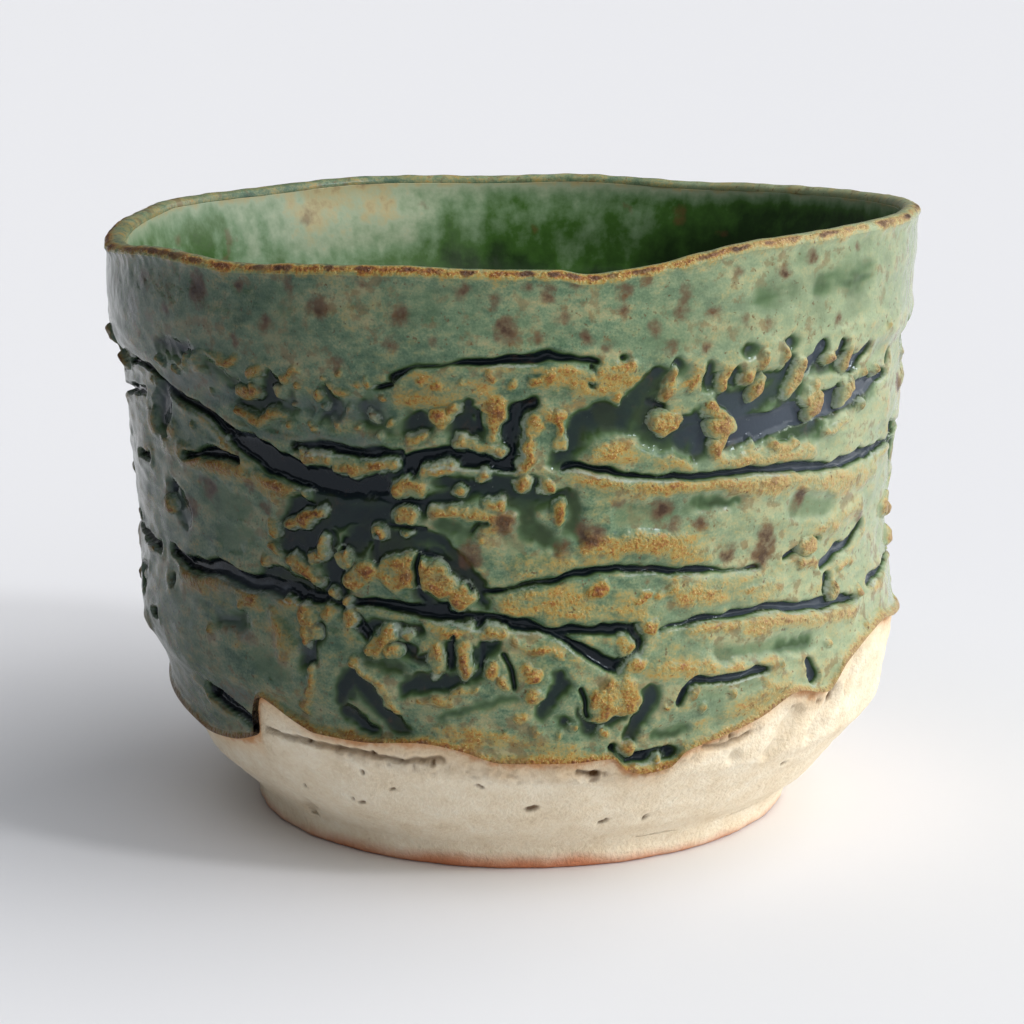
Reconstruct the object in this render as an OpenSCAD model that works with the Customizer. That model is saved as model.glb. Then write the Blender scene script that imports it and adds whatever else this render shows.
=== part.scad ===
// Hand-made sake cup: a thick stoneware bowl whose outer skin was stretched until it tore into
// courses, glazed green inside and out, with a bare heel on a turned foot ring.
// The origin is on the table under the middle of the mouth. +Z is up and -Y is the front.
// Angles run round the cup from the front, positive towards +X.

/* [Bowl] */
// Outside diameter at the lip
mouth_d = 64.4; // [58:0.2:74]
// Outside diameter where the wall turns under towards the foot
heel_d = 60.6; // [52:0.2:66]
// How far the torn wall draws in on each side, from the heel up to the waist
waist_draw = 0.2; // [0:0.1:2]
// Height of the curve from the foot up to the heel
heel_rise = 12.8; // [8:0.2:16]
// How far the heel leans out towards +X and in on the other side
heel_lean = 1.3; // [0:0.1:2.5]
// How far the wall draws in over the glaze line on the -X side
heel_dip = 0.5; // [0:0.1:1]
// Thickness of the clay wall behind the torn skin
wall_t = 3.2; // [2.4:0.1:4.6]
// Thickness of the whole lip at the mouth
lip_t = 2.4; // [2:0.1:3.6]
// Thickness of the clay floor over the foot
floor_t = 4.2; // [3:0.1:7]
// Height of the round that joins the floor to the wall inside
bowl_round = 13; // [8:0.5:18]

/* [Courses] */
// Height of the bare wall, from the foot ring up to the glaze line
bare_h = 9.4; // [6:0.2:13]
// Height of the lower course of torn skin, up to the lower tear
lower_course_h = 10; // [8:0.2:14]
// Height of the middle course of torn skin, up to the upper tear
middle_course_h = 10.2; // [8:0.2:14]
// Height of the upper course of torn skin, up to the ledge under the lip
upper_course_h = 8; // [7:0.2:12]
// Height of the smooth lip over the ledge
lip_h = 6.8; // [5:0.2:10]
// Height of one unit of wander in the rim, the glaze line and the tears
wander_h = 1; // [0:0.1:1.2]

/* [Torn skin] */
// Thickness of the torn skin
skin_t = 1.5; // [1:0.1:2.2]
// Thickness of the lower course where it thins out on the bare wall
skin_edge_t = 0.4; // [0.3:0.05:0.8]
// Height of the ripples in the torn skin
ripple_h = 0.22; // [0:0.02:0.4]
// How far the torn edges curl out beside a tear
curl_h = 0.25; // [0:0.05:0.6]
// Depth of the main hollows, as a share of the torn skin's thickness
hollow_share = 0.65; // [0.2:0.05:0.7]
// Height of the main ridges on the torn skin
ridge_h = 0.5; // [0.2:0.05:0.8]
// Width of a middling hollow or ridge
stroke_w = 1; // [0.6:0.1:1.3]
// How far the sides of a hollow or ridge slope away
stroke_slope = 0.8; // [0.6:0.1:1.4]
// Width of the lower tear
lower_tear_w = 1.2; // [0.6:0.1:2]
// Width of the upper tear, apart from its wide stretch
upper_tear_w = 1.1; // [0.6:0.1:2]
// Width of the ledge tear under the lip
ledge_tear_w = 0.8; // [0.6:0.1:1.6]
// Height of the clay crumbs over the skin
crumb_h = 0.9; // [0.5:0.1:1.4]
// Width of a middling crumb
crumb_w = 2.6; // [1.6:0.1:3.2]

/* [Glaze] */
// Thickness of the glass in the tears
tear_glass_t = 0.75; // [0.3:0.05:0.9]
// Thickness of the coat round the lip
lip_coat_t = 0.5; // [0.3:0.05:0.8]
// Height of the bead over the edge of the mouth
rim_bead_h = 0.7; // [0.4:0.05:1.2]
// Thickness of the coat inside
inner_coat_t = 0.5; // [0.3:0.05:0.8]
// Depth of the pool of glass at the bottom, inside
well_depth = 1.2; // [0.6:0.1:2.5]

/* [Foot] */
// Diameter of the foot ring at its top
foot_d = 44; // [38:0.5:50]
// Height of the foot ring
foot_h = 2.2; // [1.5:0.1:4]
// Width of the foot ring
foot_ring_w = 5; // [3.5:0.1:8]
// How far the foot ring draws in from its top to the table
foot_draw = 0.6; // [0:0.1:1.2]
// Rounding of the foot ring's edges on the table
foot_edge = 0.4; // [0.1:0.05:0.7]
// How far the wall overhangs the foot ring
foot_step = 0.4; // [0.1:0.1:1.5]
// How far the foot stands off the middle of the mouth, towards +X
foot_off = 0.5; // [0:0.1:1]

/* [Hidden] */

// Heights over the table, each course standing on the one below, and the diameter at the waist
line_h = foot_h + bare_h;
lower_tear_h = line_h + lower_course_h;
upper_tear_h = lower_tear_h + middle_course_h;
ledge_h = upper_tear_h + upper_course_h;
cup_h = ledge_h + lip_h;
floor_h = foot_h + floor_t;
heel_h = foot_h + heel_rise;
waist_h = lower_tear_h;
waist_d = heel_d - 2 * waist_draw;

// Clearances: glass beside the edge of a tear, and a crumb on the rippled skin
glass_gap = 0.03;
crumb_gap = 0.06;

// Wavy lines round the cup, as hand-chosen [angle, units of wander from the named height] points
rim_wave = [[-150, 0.1], [-110, -0.3], [-76, -1.3], [-50, -0.4], [-15, -0.1], [9, -0.5], [30, 1],
    [71, 1.7], [100, 0.7], [140, 0.1], [180, -0.1]];
line_wave = [[-150, -0.5], [-90, -1], [-60, -2.6], [-46, -1.8], [-39, 2.3], [-26, 0], [-10, 0.3], [2, -0.9],
    [12, -0.5], [21, -1.9], [32, 0.2], [48, 2.5], [64, 4.6], [100, 3.4], [150, 1.2]];
lower_tear_wave = [[-150, 0.4], [-95, 1.2], [-58, 1.4], [-44, 1.3], [-28, 0.6], [-6, 0.2], [12, -1.3],
    [30, -0.8], [42, -1], [52, -1.8], [95, -0.6], [140, 0.5], [180, 1.2]];
upper_tear_wave = [[-150, -1], [-90, 1.4], [-52, 3.6], [-38, 0.9], [-24, -1.3], [-10, 1.3],
    [8, 0.7], [15, 0], [25, -0.5], [38, -0.7], [55, -1.4], [95, -0.4], [140, 1], [180, -0.4]];
ledge_wave = [[-150, 0], [-80, -0.4], [-14, -1], [-2, 0.3], [6, 0.7], [14, -0.2], [40, 0.6],
    [100, 0.5], [160, -0.2]];
// Where the upper tear gapes, as [angle, extra share of its width] points
upper_tear_gape = [[-150, 0.4], [-80, 0], [-48, 0.6], [-30, 1.9], [-16, 1.4], [-4, 0.2], [20, -0.4],
    [44, -0.3], [60, 0.5], [110, 0], [165, 0.8]];

// Bands up the outside: bare wall, three courses with a tear over each, and the lip
BARE = 0;
LOWER = 1;
LOWER_TEAR = 2;
MIDDLE = 3;
UPPER_TEAR = 4;
UPPER = 5;
LEDGE = 6;
LIP = 7;

// Larger lumps on the torn skin: hand-chosen [angle, course, share of its height, share of a
// middling crumb's width]
crumbs = [[-23.5, MIDDLE, 0.4, 0.75], [-10.3, MIDDLE, 0.24, 1.1], [-34.6, MIDDLE, 0.5, 0.6],
    [-14.6, MIDDLE, 0.72, 0.6], [-58, MIDDLE, 0.3, 1], [46.2, MIDDLE, 0.4, 1.1], [75, MIDDLE, 0.5, 1],
    [120, MIDDLE, 0.3, 1.1], [164, MIDDLE, 0.4, 1.15], [-112, MIDDLE, 0.45, 1],
    [-28.8, LOWER, 0.8, 0.9], [-16.4, LOWER, 0.75, 0.75], [2.5, LOWER, 0.7, 0.9], [13, LOWER, 0.55, 1.3],
    [-92, LOWER, 0.6, 1.1], [-136, LOWER, 0.6, 1], [124, LOWER, 0.6, 1],
    [-38, UPPER, 0.6, 0.9], [-9.2, UPPER, 0.45, 0.9], [-2.5, UPPER, 0.55, 0.85], [6, UPPER, 0.45, 0.75],
    [20, UPPER, 0.5, 1], [28.5, UPPER, 0.4, 1.15], [34, UPPER, 0.7, 0.9], [41, UPPER, 0.75, 0.9],
    [45, UPPER, 0.5, 1], [52.4, UPPER, 0.55, 1], [98, UPPER, 0.6, 1.15], [150, UPPER, 0.55, 1],
    [-130, UPPER, 0.5, 1.15]];

// Main hollows and ridges of the torn skin: hand-chosen [course, share of a middling width, points], each
// point an [angle, share of the course's height]. All of them come again half a turn round
hollows = [
    [LOWER, 1, [[-24.4, 0.4], [-22.6, 0.48], [-19.4, 0.34], [-16.6, 0.16]]],
    [LOWER, 0.6, [[-24.4, 0.24], [-21, 0.1]]], [LOWER, 0.6, [[-14, 0.48], [-8.5, 0.56]]],
    [LOWER, 0.6, [[-28, 0.85], [-29.6, 0.6]]], [LOWER, 0.8, [[6.2, 0.68], [5.6, 0.55], [4.4, 0.42]]],
    [LOWER, 0.9, [[19, 0.58], [18.4, 0.46], [17, 0.3]]], [LOWER, 0.3, [[25, 0.55], [31, 0.52], [37, 0.48]]],
    [LOWER, 0.3, [[-46, 0.73], [-41, 0.75]]], [LOWER, 0.5, [[8, 0.95], [11, 0.87], [14, 0.78]]],
    [LOWER, 0.5, [[-8.3, 0.82], [-8.3, 0.7]]], [LOWER, 0.5, [[-2.8, 0.88], [-4.6, 0.74]]],
    [MIDDLE, 0.9, [[-30, 0.6], [-26.4, 0.62], [-25.4, 0.2]]],
    [MIDDLE, 0.5, [[-18, 0.52], [-12, 0.56], [-8.4, 0.42], [-6, 0.26], [-4.4, 0.1]]],
    [MIDDLE, 0.3, [[3, 0.24], [12, 0.39], [20, 0.34], [30, 0.28]]],
    [MIDDLE, 0.5, [[50.5, 0.28], [54, 0.36], [61, 0.46]]],
    [MIDDLE, 0.4, [[2, 0.76], [2.8, 0.66], [4.6, 0.58]]],
    [MIDDLE, 0.5, [[-9, 0.88], [-2, 0.86], [5, 0.88]]],
    [UPPER, 0.8, [[7, 0.12], [9.6, 0.46], [14, 0.48], [17.6, 0.8]]],
    [UPPER, 1.2, [[30, 0.3], [36, 0.36], [42, 0.42], [50, 0.48], [59, 0.53]]],
    [UPPER, 0.6, [[0.4, 0.12], [0.6, 0.5]]], [UPPER, 0.5, [[-33.2, 0.72], [-36.4, 0.52]]],
    [UPPER, 0.6, [[44, 0.82], [45.6, 0.95]]], [UPPER, 0.6, [[54, 0.74], [56.6, 0.86]]]];
ridges = [
    [LOWER, 0.5, [[-22, 0.68], [-18.6, 0.52], [-16, 0.34]]], [LOWER, 0.7, [[-10.5, 0.88], [-10.2, 0.64]]],
    [LOWER, 0.7, [[-6.4, 0.88], [-6.3, 0.65]]], [LOWER, 0.8, [[11, 0.34], [12, 0.22]]],
    [MIDDLE, 0.9, [[-2.6, 0.76], [-1.4, 0.76]]], [MIDDLE, 0.7, [[6.3, 0.78], [6.3, 0.68]]],
    [MIDDLE, 0.9, [[10, 0.56], [16, 0.54], [22, 0.52]]], [MIDDLE, 0.6, [[-31.6, 0.6], [-27, 0.72]]],
    [MIDDLE, 0.9, [[-22.6, 0.24], [-19.6, 0.32]]], [MIDDLE, 1.1, [[-16.4, 0.32], [-13.6, 0.34]]],
    [UPPER, 0.7, [[2.7, 0.4], [2.5, 0.18]]], [UPPER, 0.6, [[28.6, 0.24], [28, 0.12]]]];

// Columns round the cup, and rows up each band of the wall
columns = 60;
bare_rows = 4;
skin_rows = 4;
lip_rows = 3;
pool_rows = 2;
round_rows = 5;
inside_rows = 4;
bead_rows = 4;
// Share of the lower course over which its edge thins out
thin_share = 0.4;
// Height of the middle of the heel's lean under the heel, and how far up and down it reaches
lean_drop = 5;
lean_reach = 6;
// Steepness of the flare from the waist out to the lip
lip_flare = 3;
// Sharpness of the curl at a torn edge
curl_power = 4;
// Ripple turns round the cup, and degrees of ripple for each millimetre of height
ripple_turns = [9, 5];
ripple_rate = [29, -21];
// Height of the middle of the wall's dip under the heel, and how far up and down it reaches
dip_drop = 2;
dip_reach = 1.8;
// Rows up the outside of a course of skin, and its columns there for each column of the clay
relief_rows = 8;
relief_columns = 3;
// How far from a crumb's edge the hollows and ridges start, and how far on they are whole
crumb_margin = 0.5;
crumb_fade = 1.2;
// Sides of a crumb, and how much smaller its shoulder is than its base
crumb_sides = 8;
crumb_shoulder = 0.68;
crumb_squash = 0.72;

// Small helpers: a mix of two values, an ease from 0 to 1, a bell, a turn in 0 to 360, a list turned round
function mix(from, to, share) = from + (to - from) * share;
function ease(share) = let (s = min(1, max(0, share))) s * s * (3 - 2 * s);
function bell(distance) = exp(-distance * distance);
function turn(angle) = angle - 360 * floor(angle / 360);
function reversed(list) = [for (i = [len(list) - 1 : -1 : 0]) list[i]];

// Smooth closed curve through [angle, value] points, with the slope of its neighbours at each
function wave(points, angle) =
    let (
        n = len(points),
        i = [for (k = [0 : n - 1])
            if (turn(angle - points[k][0]) < turn(points[(k + 1) % n][0] - points[k][0])) k][0],
        before = points[(i + n - 1) % n],
        here = points[i],
        next = points[(i + 1) % n],
        after = points[(i + 2) % n],
        span = turn(next[0] - here[0]),
        u = turn(angle - here[0]) / span,
        slope_here = (next[1] - before[1]) / (turn(here[0] - before[0]) + span),
        slope_next = (after[1] - here[1]) / (span + turn(after[0] - next[0]))
    )
    mix(here[1], next[1], ease(u))
        + span * u * (1 - u) * ((1 - u) * slope_here - u * slope_next);

// Outside radius at a height: a quarter round from the foot to the heel, then eased to the lip
function outside_r(z) =
    z < heel_h
        ? mix(foot_d / 2 + foot_step, heel_d / 2, sin(90 * max(0, z - foot_h) / heel_rise))
        : z < waist_h
            ? mix(heel_d / 2, waist_d / 2, ease((z - heel_h) / (waist_h - heel_h)))
            : mix(waist_d / 2, mouth_d / 2,
                pow(ease((z - waist_h) / (cup_h - lip_h / 2 - waist_h)), lip_flare));

// Sideways lean at a height and angle, from the heel, the foot standing off centre and the dip at one side
function lean(z, angle) =
    sin(angle) * (heel_lean * bell((z - heel_h + lean_drop) / lean_reach)
        + foot_off * (1 - ease((z - foot_h) / heel_rise)))
        - heel_dip * bell((z - heel_h + dip_drop) / dip_reach) * (1 - sin(angle)) / 2;

function wall_r(z, angle) = outside_r(z) + lean(z, angle);

// Edges of the bands at one angle, from the foot up to the underside of the rim bead
function band_edges(angle) =
    let (
        line = line_h + wander_h * wave(line_wave, angle),
        lower = lower_tear_h + wander_h * wave(lower_tear_wave, angle),
        upper = upper_tear_h + wander_h * wave(upper_tear_wave, angle),
        ledge = ledge_h + wander_h * wave(ledge_wave, angle),
        rim = cup_h + wander_h * wave(rim_wave, angle),
        upper_w = upper_tear_w * (1 + wave(upper_tear_gape, angle))
    )
    [foot_h, line, lower - lower_tear_w / 2, lower + lower_tear_w / 2, upper - upper_w / 2,
        upper + upper_w / 2, ledge - ledge_tear_w / 2, ledge + ledge_tear_w / 2, rim - rim_bead_h];

angles = [for (j = [0 : columns - 1]) 360 * j / columns];
edges = [for (angle = angles) band_edges(angle)];

// Height in a band of one column, at a share of the way up the band
function band_z(j, band, share) = mix(edges[j][band], edges[j][band + 1], share);

// Height at any angle, at a share of the way up a course
function course_z(angle, band, share) =
    let (at = band_edges(angle))
    mix(at[band], at[band + 1], share);

// Thickness of what covers the clay body in a band
function cover(band, share) =
    band == BARE ? 0
        : band == LOWER ? mix(skin_edge_t, skin_t, ease(share / thin_share))
        : band == LIP ? lip_coat_t
        : skin_t;

// Point at a radius, an angle and a height
function spot(r, angle, z) = [r * sin(angle), -r * cos(angle), z];

// Point on the clay body's outside, and the same point raised to the outside of the wall
function clay_point(j, band, share) =
    let (z = band_z(j, band, share))
    spot(wall_r(z, angles[j]) - cover(band, share), angles[j], z);
function ripple(z, angle) =
    ripple_h * sin(ripple_turns[0] * angle + ripple_rate[0] * z)
        * cos(ripple_turns[1] * angle + ripple_rate[1] * z);
function skin_r(z, angle) = wall_r(z, angle) + ripple(z, angle);
function curl(band, share) =
    band == LOWER && share < 0.5 ? 0 : curl_h * pow(abs(2 * share - 1), curl_power);

// Way along the wall for an angle, and an angle brought to within a half or a quarter turn of 0
function along_wall(angle) = angle * PI * waist_d / 360;
function half_turn(angle) = turn(angle + 180) - 180;
function quarter_turn(angle) = angle - 180 * floor(angle / 180 + 0.5);

// Share of a stroke's full depth or height at a point of a course: the most of all the strokes there
function stroke_share(strokes, band, angle, share, height) =
    max([0, for (stroke = strokes) if (stroke[0] == band) for (i = [1 : len(stroke[2]) - 1])
        let (
            from = stroke[2][i - 1],
            to = stroke[2][i],
            way = [along_wall(to[0] - from[0]), (to[1] - from[1]) * height],
            off = [along_wall(quarter_turn(angle - from[0])), (share - from[1]) * height],
            reached = min(1, max(0, off * way / (way * way))),
            outside = norm(off - reached * way) - stroke_w * stroke[1] / 2
        )
        1 - ease(outside / stroke_slope)]);

// Share of the hollows and ridges that is left beside the crumbs, which stand on plain skin
function beside_crumbs(band, angle, share, height) =
    min([1, for (lump = crumbs) if (lump[1] == band)
        let (
            off = [along_wall(half_turn(angle - lump[0])), (share - lump[2]) * height],
            outside = norm(off) - lump[3] * crumb_w / 2 - crumb_margin
        )
        ease(outside / crumb_fade)]);
function relief(band, angle, share, height) =
    let (plain = beside_crumbs(band, angle, share, height))
    plain == 0 ? 0 : plain * (ridge_h * stroke_share(ridges, band, angle, share, height)
        - hollow_share * cover(band, share) * stroke_share(hollows, band, angle, share, height));

// Point on the outside of a course: in a column of the clay, and in one of the finer columns between
function skin_point(j, band, share) =
    let (z = band_z(j, band, share))
    spot(skin_r(z, angles[j]) + curl(band, share), angles[j], z);
function relief_point(k, band, share) =
    let (
        j = floor(k / relief_columns),
        next = (j + 1) % columns,
        part = k / relief_columns - j,
        angle = 360 * k / columns / relief_columns,
        low = mix(edges[j][band], edges[next][band], part),
        high = mix(edges[j][band + 1], edges[next][band + 1], part),
        z = mix(low, high, share)
    )
    spot(skin_r(z, angle) + curl(band, share) + relief(band, angle, share, high - low), angle, z);
function lip_point(j, share) =
    let (z = band_z(j, LIP, share))
    spot(wall_r(z, angles[j]), angles[j], z);

// Inside of the finished bowl: the wall's own curve less its thickness, round at the bottom
function inside_top(j) = edges[j][LIP + 1];
function inside_r(z, angle) =
    wall_r(z, angle) - mix(skin_t + wall_t, lip_t, ease((z - waist_h) / (cup_h - waist_h)));
round_top = floor_h + inner_coat_t + bowl_round;
// Shares of the round from the middle of the floor: up to the edge of the pool, then to the wall
pool_share = acos(1 - well_depth / bowl_round) / 90;
round_shares = concat([for (i = [1 : pool_rows]) pool_share * i / pool_rows],
    [for (i = [1 : round_rows]) mix(pool_share, 1, i / round_rows)]);
function round_point(j, share, sink) =
    let (
        z = round_top - bowl_round * cos(90 * share),
        r = inside_r(round_top, angles[j]) * sin(90 * share)
    )
    spot(r + sink * sin(90 * share), angles[j], z - sink * cos(90 * share));
function inside_point(j, share, sink) =
    let (z = mix(round_top, inside_top(j), share))
    spot(inside_r(z, angles[j]) + sink, angles[j], z);

// One column of the inside, from the top down to beside the middle of the floor
function inside_column(j, sink) = concat(
    [for (i = [inside_rows : -1 : 1]) inside_point(j, i / inside_rows, sink)],
    [for (share = reversed(round_shares)) round_point(j, share, sink)]);

// Two triangles between two columns and two rows, clockwise from outside; rising chooses the diagonal
function patch(a, b, c, d, rising) = rising ? [[a, d, b], [a, c, d]] : [[a, c, b], [b, c, d]];

// Solid of columns that are closed loops, so that it is a ring round the cup
module ring_solid(loops) {
    n = len(loops);
    m = len(loops[0]);
    polyhedron([for (loop = loops) each loop],
        [for (j = [0 : n - 1]) for (k = [0 : m - 1])
            let (next = (j + 1) % n, over = (k + 1) % m)
            each patch(j * m + k, j * m + over, next * m + k, next * m + over, true)]);
}

// Solid of columns that run from a pole on the axis to another, so that it closes at both
module pole_solid(runs, first_pole, last_pole, rising = true) {
    n = len(runs);
    m = len(runs[0]);
    first = n * m;
    last = first + 1;
    polyhedron(concat([for (run = runs) each run], [first_pole, last_pole]),
        [for (j = [0 : n - 1]) let (next = (j + 1) % n) each concat(
            [[first, j * m, next * m]],
            [for (k = [0 : m - 2])
                each patch(j * m + k + 1, j * m + k, next * m + k + 1, next * m + k, !rising)],
            [[last, next * m + m - 1, j * m + m - 1]])]);
}

// Course of torn skin in one band, lying on the clay body. Inside and at its torn edges it has the clay's
// columns, and between the edges the outside has finer ones for the hollows and ridges
module skin_course(band) {
    fine = columns * relief_columns;
    under = skin_rows + 1;
    low = columns * under;
    rows = low + columns;
    high = rows + fine * (relief_rows - 1);
    // Triangles from a torn edge to the finer row beside it
    function edge_faces(edge, row, flipped) =
        [for (j = [0 : columns - 1])
            let (next = (j + 1) % columns, half = ceil(relief_columns / 2))
            each [for (face = concat(
                [[edge + j, edge + next, row + j * relief_columns + half]],
                [for (k = [0 : relief_columns - 1])
                    [row + (j * relief_columns + k + 1) % fine, row + j * relief_columns + k,
                        edge + (k < half ? j : next)]]))
                flipped ? reversed(face) : face]];
    polyhedron(
        concat(
            [for (j = [0 : columns - 1]) for (i = [0 : skin_rows]) clay_point(j, band, i / skin_rows)],
            [for (j = [0 : columns - 1]) skin_point(j, band, 0)],
            [for (i = [1 : relief_rows - 1]) for (k = [0 : fine - 1]) relief_point(k, band, i / relief_rows)],
            [for (j = [0 : columns - 1]) skin_point(j, band, 1)]),
        concat(
            [for (j = [0 : columns - 1]) let (next = (j + 1) % columns) each concat(
                [for (i = [0 : skin_rows - 1]) each patch(j * under + i, j * under + i + 1,
                    next * under + i, next * under + i + 1, true)],
                patch(low + j, j * under, low + next, next * under, true),
                patch(j * under + skin_rows, high + j, next * under + skin_rows, high + next, true))],
            edge_faces(low, rows, true),
            [for (i = [0 : relief_rows - 3]) for (k = [0 : fine - 1])
                let (next = (k + 1) % fine, row = rows + i * fine)
                each patch(row + fine + k, row + k, row + fine + next, row + next, i % 2 == 0)],
            edge_faces(high, high - fine, false)));
}

// Strip of glass in one tear, a named gap short of the torn edges on both sides
module tear_glass(band) {
    ring_solid([for (j = [0 : columns - 1])
        let (
            low = clay_point(j, band, 0),
            high = clay_point(j, band, 1),
            inset = glass_gap / (edges[j][band + 1] - edges[j][band]),
            lift = [sin(angles[j]), -cos(angles[j]), 0] * tear_glass_t
        )
        [mix(low, high, inset), mix(low, high, 1 - inset),
            mix(low, high, 1 - inset) + lift, mix(low, high, inset) + lift]]);
}

// Rounded lump of clay on the torn skin of a course, at a share of the course's height
module crumb(angle, band, share, width) {
    around = [for (i = [0 : crumb_sides - 1]) 360 * i / crumb_sides];
    z = course_z(angle, band, share);
    height = course_z(angle, band, 1) - course_z(angle, band, 0);
    function on_skin(side, size, rise) =
        let (
            up = size * crumb_squash * sin(side) / 2,
            across = angle + size * cos(side) / 2 / along_wall(1)
        )
        spot(skin_r(z + up, across) + curl(band, share + up / height) + crumb_gap + rise, across, z + up);
    base = [for (side = around) on_skin(side, width, 0)];
    shoulder = [for (side = around) on_skin(side, width * crumb_shoulder, crumb_h * crumb_shoulder)];
    pole_solid([for (i = [0 : crumb_sides - 1]) [base[i], shoulder[i]]],
        on_skin(0, 0, 0), on_skin(0, 0, crumb_h));
}

// Bowl of clay with a flat underside over the foot ring
module clay_body() {
    color([0.86, 0.79, 0.66])
    pole_solid([for (j = [0 : columns - 1]) concat(
        [for (i = [0 : bare_rows]) clay_point(j, BARE, i / bare_rows)],
        [for (i = [0 : skin_rows]) clay_point(j, LOWER, i / skin_rows)],
        [clay_point(j, LOWER_TEAR, 1)],
        [for (i = [1 : skin_rows]) clay_point(j, MIDDLE, i / skin_rows)],
        [clay_point(j, UPPER_TEAR, 1)],
        [for (i = [1 : skin_rows]) clay_point(j, UPPER, i / skin_rows)],
        [clay_point(j, LEDGE, 1)],
        [for (i = [0 : lip_rows]) clay_point(j, LIP, i / lip_rows)],
        inside_column(j, inner_coat_t))],
        [0, 0, foot_h], [0, 0, floor_h]);
}

// Turned ring that the cup stands on, flat underneath
module foot_ring() {
    top_r = foot_d / 2;
    low_r = top_r - foot_draw;
    hollow_r = top_r - foot_ring_w;
    color([0.85, 0.72, 0.55])
    translate([foot_off, 0, 0])
    rotate_extrude($fn = 96)
    polygon([[hollow_r, foot_edge], [hollow_r + foot_edge, 0], [low_r - foot_edge, 0],
        [low_r, foot_edge], [top_r, foot_h], [hollow_r, foot_h]]);
}

module torn_skin_lower() {
    color([0.45, 0.5, 0.36])
    skin_course(LOWER);
}

module torn_skin_middle() {
    color([0.47, 0.52, 0.38])
    skin_course(MIDDLE);
}

module torn_skin_upper() {
    color([0.43, 0.5, 0.39])
    skin_course(UPPER);
}

module clay_crumbs() {
    color([0.66, 0.45, 0.25])
    for (lump = crumbs) crumb(lump[0], lump[1], lump[2], lump[3] * crumb_w);
}

module fissure_glaze_lower() {
    color([0.05, 0.11, 0.12])
    tear_glass(LOWER_TEAR);
}

module fissure_glaze_upper() {
    color([0.05, 0.11, 0.12])
    tear_glass(UPPER_TEAR);
}

module ledge_glaze() {
    color([0.07, 0.15, 0.13])
    tear_glass(LEDGE);
}

// Coat round the lip, from the ledge up to the rim bead
module lip_glaze() {
    color([0.37, 0.49, 0.38])
    ring_solid([for (j = [0 : columns - 1]) concat(
        [for (i = [0 : lip_rows]) clay_point(j, LIP, i / lip_rows)],
        [for (i = [lip_rows : -1 : 0]) lip_point(j, i / lip_rows)])]);
}

// Rounded bead over the edge of the mouth, resting on the coats and the clay between them
module rim_glaze() {
    color([0.5, 0.34, 0.18])
    ring_solid([for (j = [0 : columns - 1])
        let (
            z = inside_top(j),
            outer = wall_r(z, angles[j]),
            inner = inside_r(z, angles[j]),
            middle = (outer + inner) / 2
        )
        concat(
            [for (r = [outer, outer - lip_coat_t, inner + inner_coat_t, inner]) spot(r, angles[j], z)],
            [for (i = [1 : bead_rows - 1])
                let (round = 180 * i / bead_rows)
                spot(middle - (outer - inner) / 2 * cos(round), angles[j], z + rim_bead_h * sin(round))])]);
}

// Coat inside the bowl, from the rim bead down over the floor
module inner_glaze() {
    color([0.42, 0.55, 0.36])
    pole_solid([for (j = [0 : columns - 1])
        concat(reversed(inside_column(j, inner_coat_t)), inside_column(j, 0))],
        [0, 0, floor_h], [0, 0, floor_h + inner_coat_t], false);
}

// Pool of glass with a level top, lying in the bottom of the inner coat
module well_glaze() {
    color([0.16, 0.3, 0.14])
    pole_solid([for (j = [0 : columns - 1])
        [for (i = [0 : pool_rows - 1]) round_point(j, round_shares[i], 0)]],
        [0, 0, floor_h + inner_coat_t], [0, 0, floor_h + inner_coat_t + well_depth]);
}

clay_body();
foot_ring();
torn_skin_lower();
torn_skin_middle();
torn_skin_upper();
clay_crumbs();
fissure_glaze_lower();
fissure_glaze_upper();
ledge_glaze();
lip_glaze();
rim_glaze();
inner_glaze();
well_glaze();
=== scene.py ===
"""A hand-made sake cup: bare stoneware at the foot, torn clay under copper-green glaze, and a smooth
wavy lip.

Sizes are millimetres, and angles are degrees from the front, growing towards +X, until a mesh is made.
The outside is one relief: the height of the clay over the level of the glaze. Glaze is thin and amber where
the relief is high, and thick, dark and level where it is low.
"""
import math

import bpy
import numpy as np
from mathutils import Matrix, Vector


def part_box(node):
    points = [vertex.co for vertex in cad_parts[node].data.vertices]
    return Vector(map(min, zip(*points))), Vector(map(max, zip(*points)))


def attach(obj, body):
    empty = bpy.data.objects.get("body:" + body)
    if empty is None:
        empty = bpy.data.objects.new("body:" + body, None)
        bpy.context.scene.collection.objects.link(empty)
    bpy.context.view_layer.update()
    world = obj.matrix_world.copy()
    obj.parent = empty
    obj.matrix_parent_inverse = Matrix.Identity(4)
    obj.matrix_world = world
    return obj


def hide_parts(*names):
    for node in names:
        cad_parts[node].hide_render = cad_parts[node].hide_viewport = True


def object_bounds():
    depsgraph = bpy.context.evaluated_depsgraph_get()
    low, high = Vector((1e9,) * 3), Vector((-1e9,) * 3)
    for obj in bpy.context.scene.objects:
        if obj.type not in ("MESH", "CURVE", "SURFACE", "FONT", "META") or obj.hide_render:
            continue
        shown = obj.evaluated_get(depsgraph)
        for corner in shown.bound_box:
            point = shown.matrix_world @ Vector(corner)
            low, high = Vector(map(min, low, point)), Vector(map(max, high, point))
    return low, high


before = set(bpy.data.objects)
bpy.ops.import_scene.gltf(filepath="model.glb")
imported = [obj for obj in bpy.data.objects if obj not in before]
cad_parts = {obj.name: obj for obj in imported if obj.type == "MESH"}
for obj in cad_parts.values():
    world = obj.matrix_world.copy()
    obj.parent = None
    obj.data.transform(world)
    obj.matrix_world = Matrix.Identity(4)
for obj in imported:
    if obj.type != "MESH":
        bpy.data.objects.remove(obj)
cad_low, cad_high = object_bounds()

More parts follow.
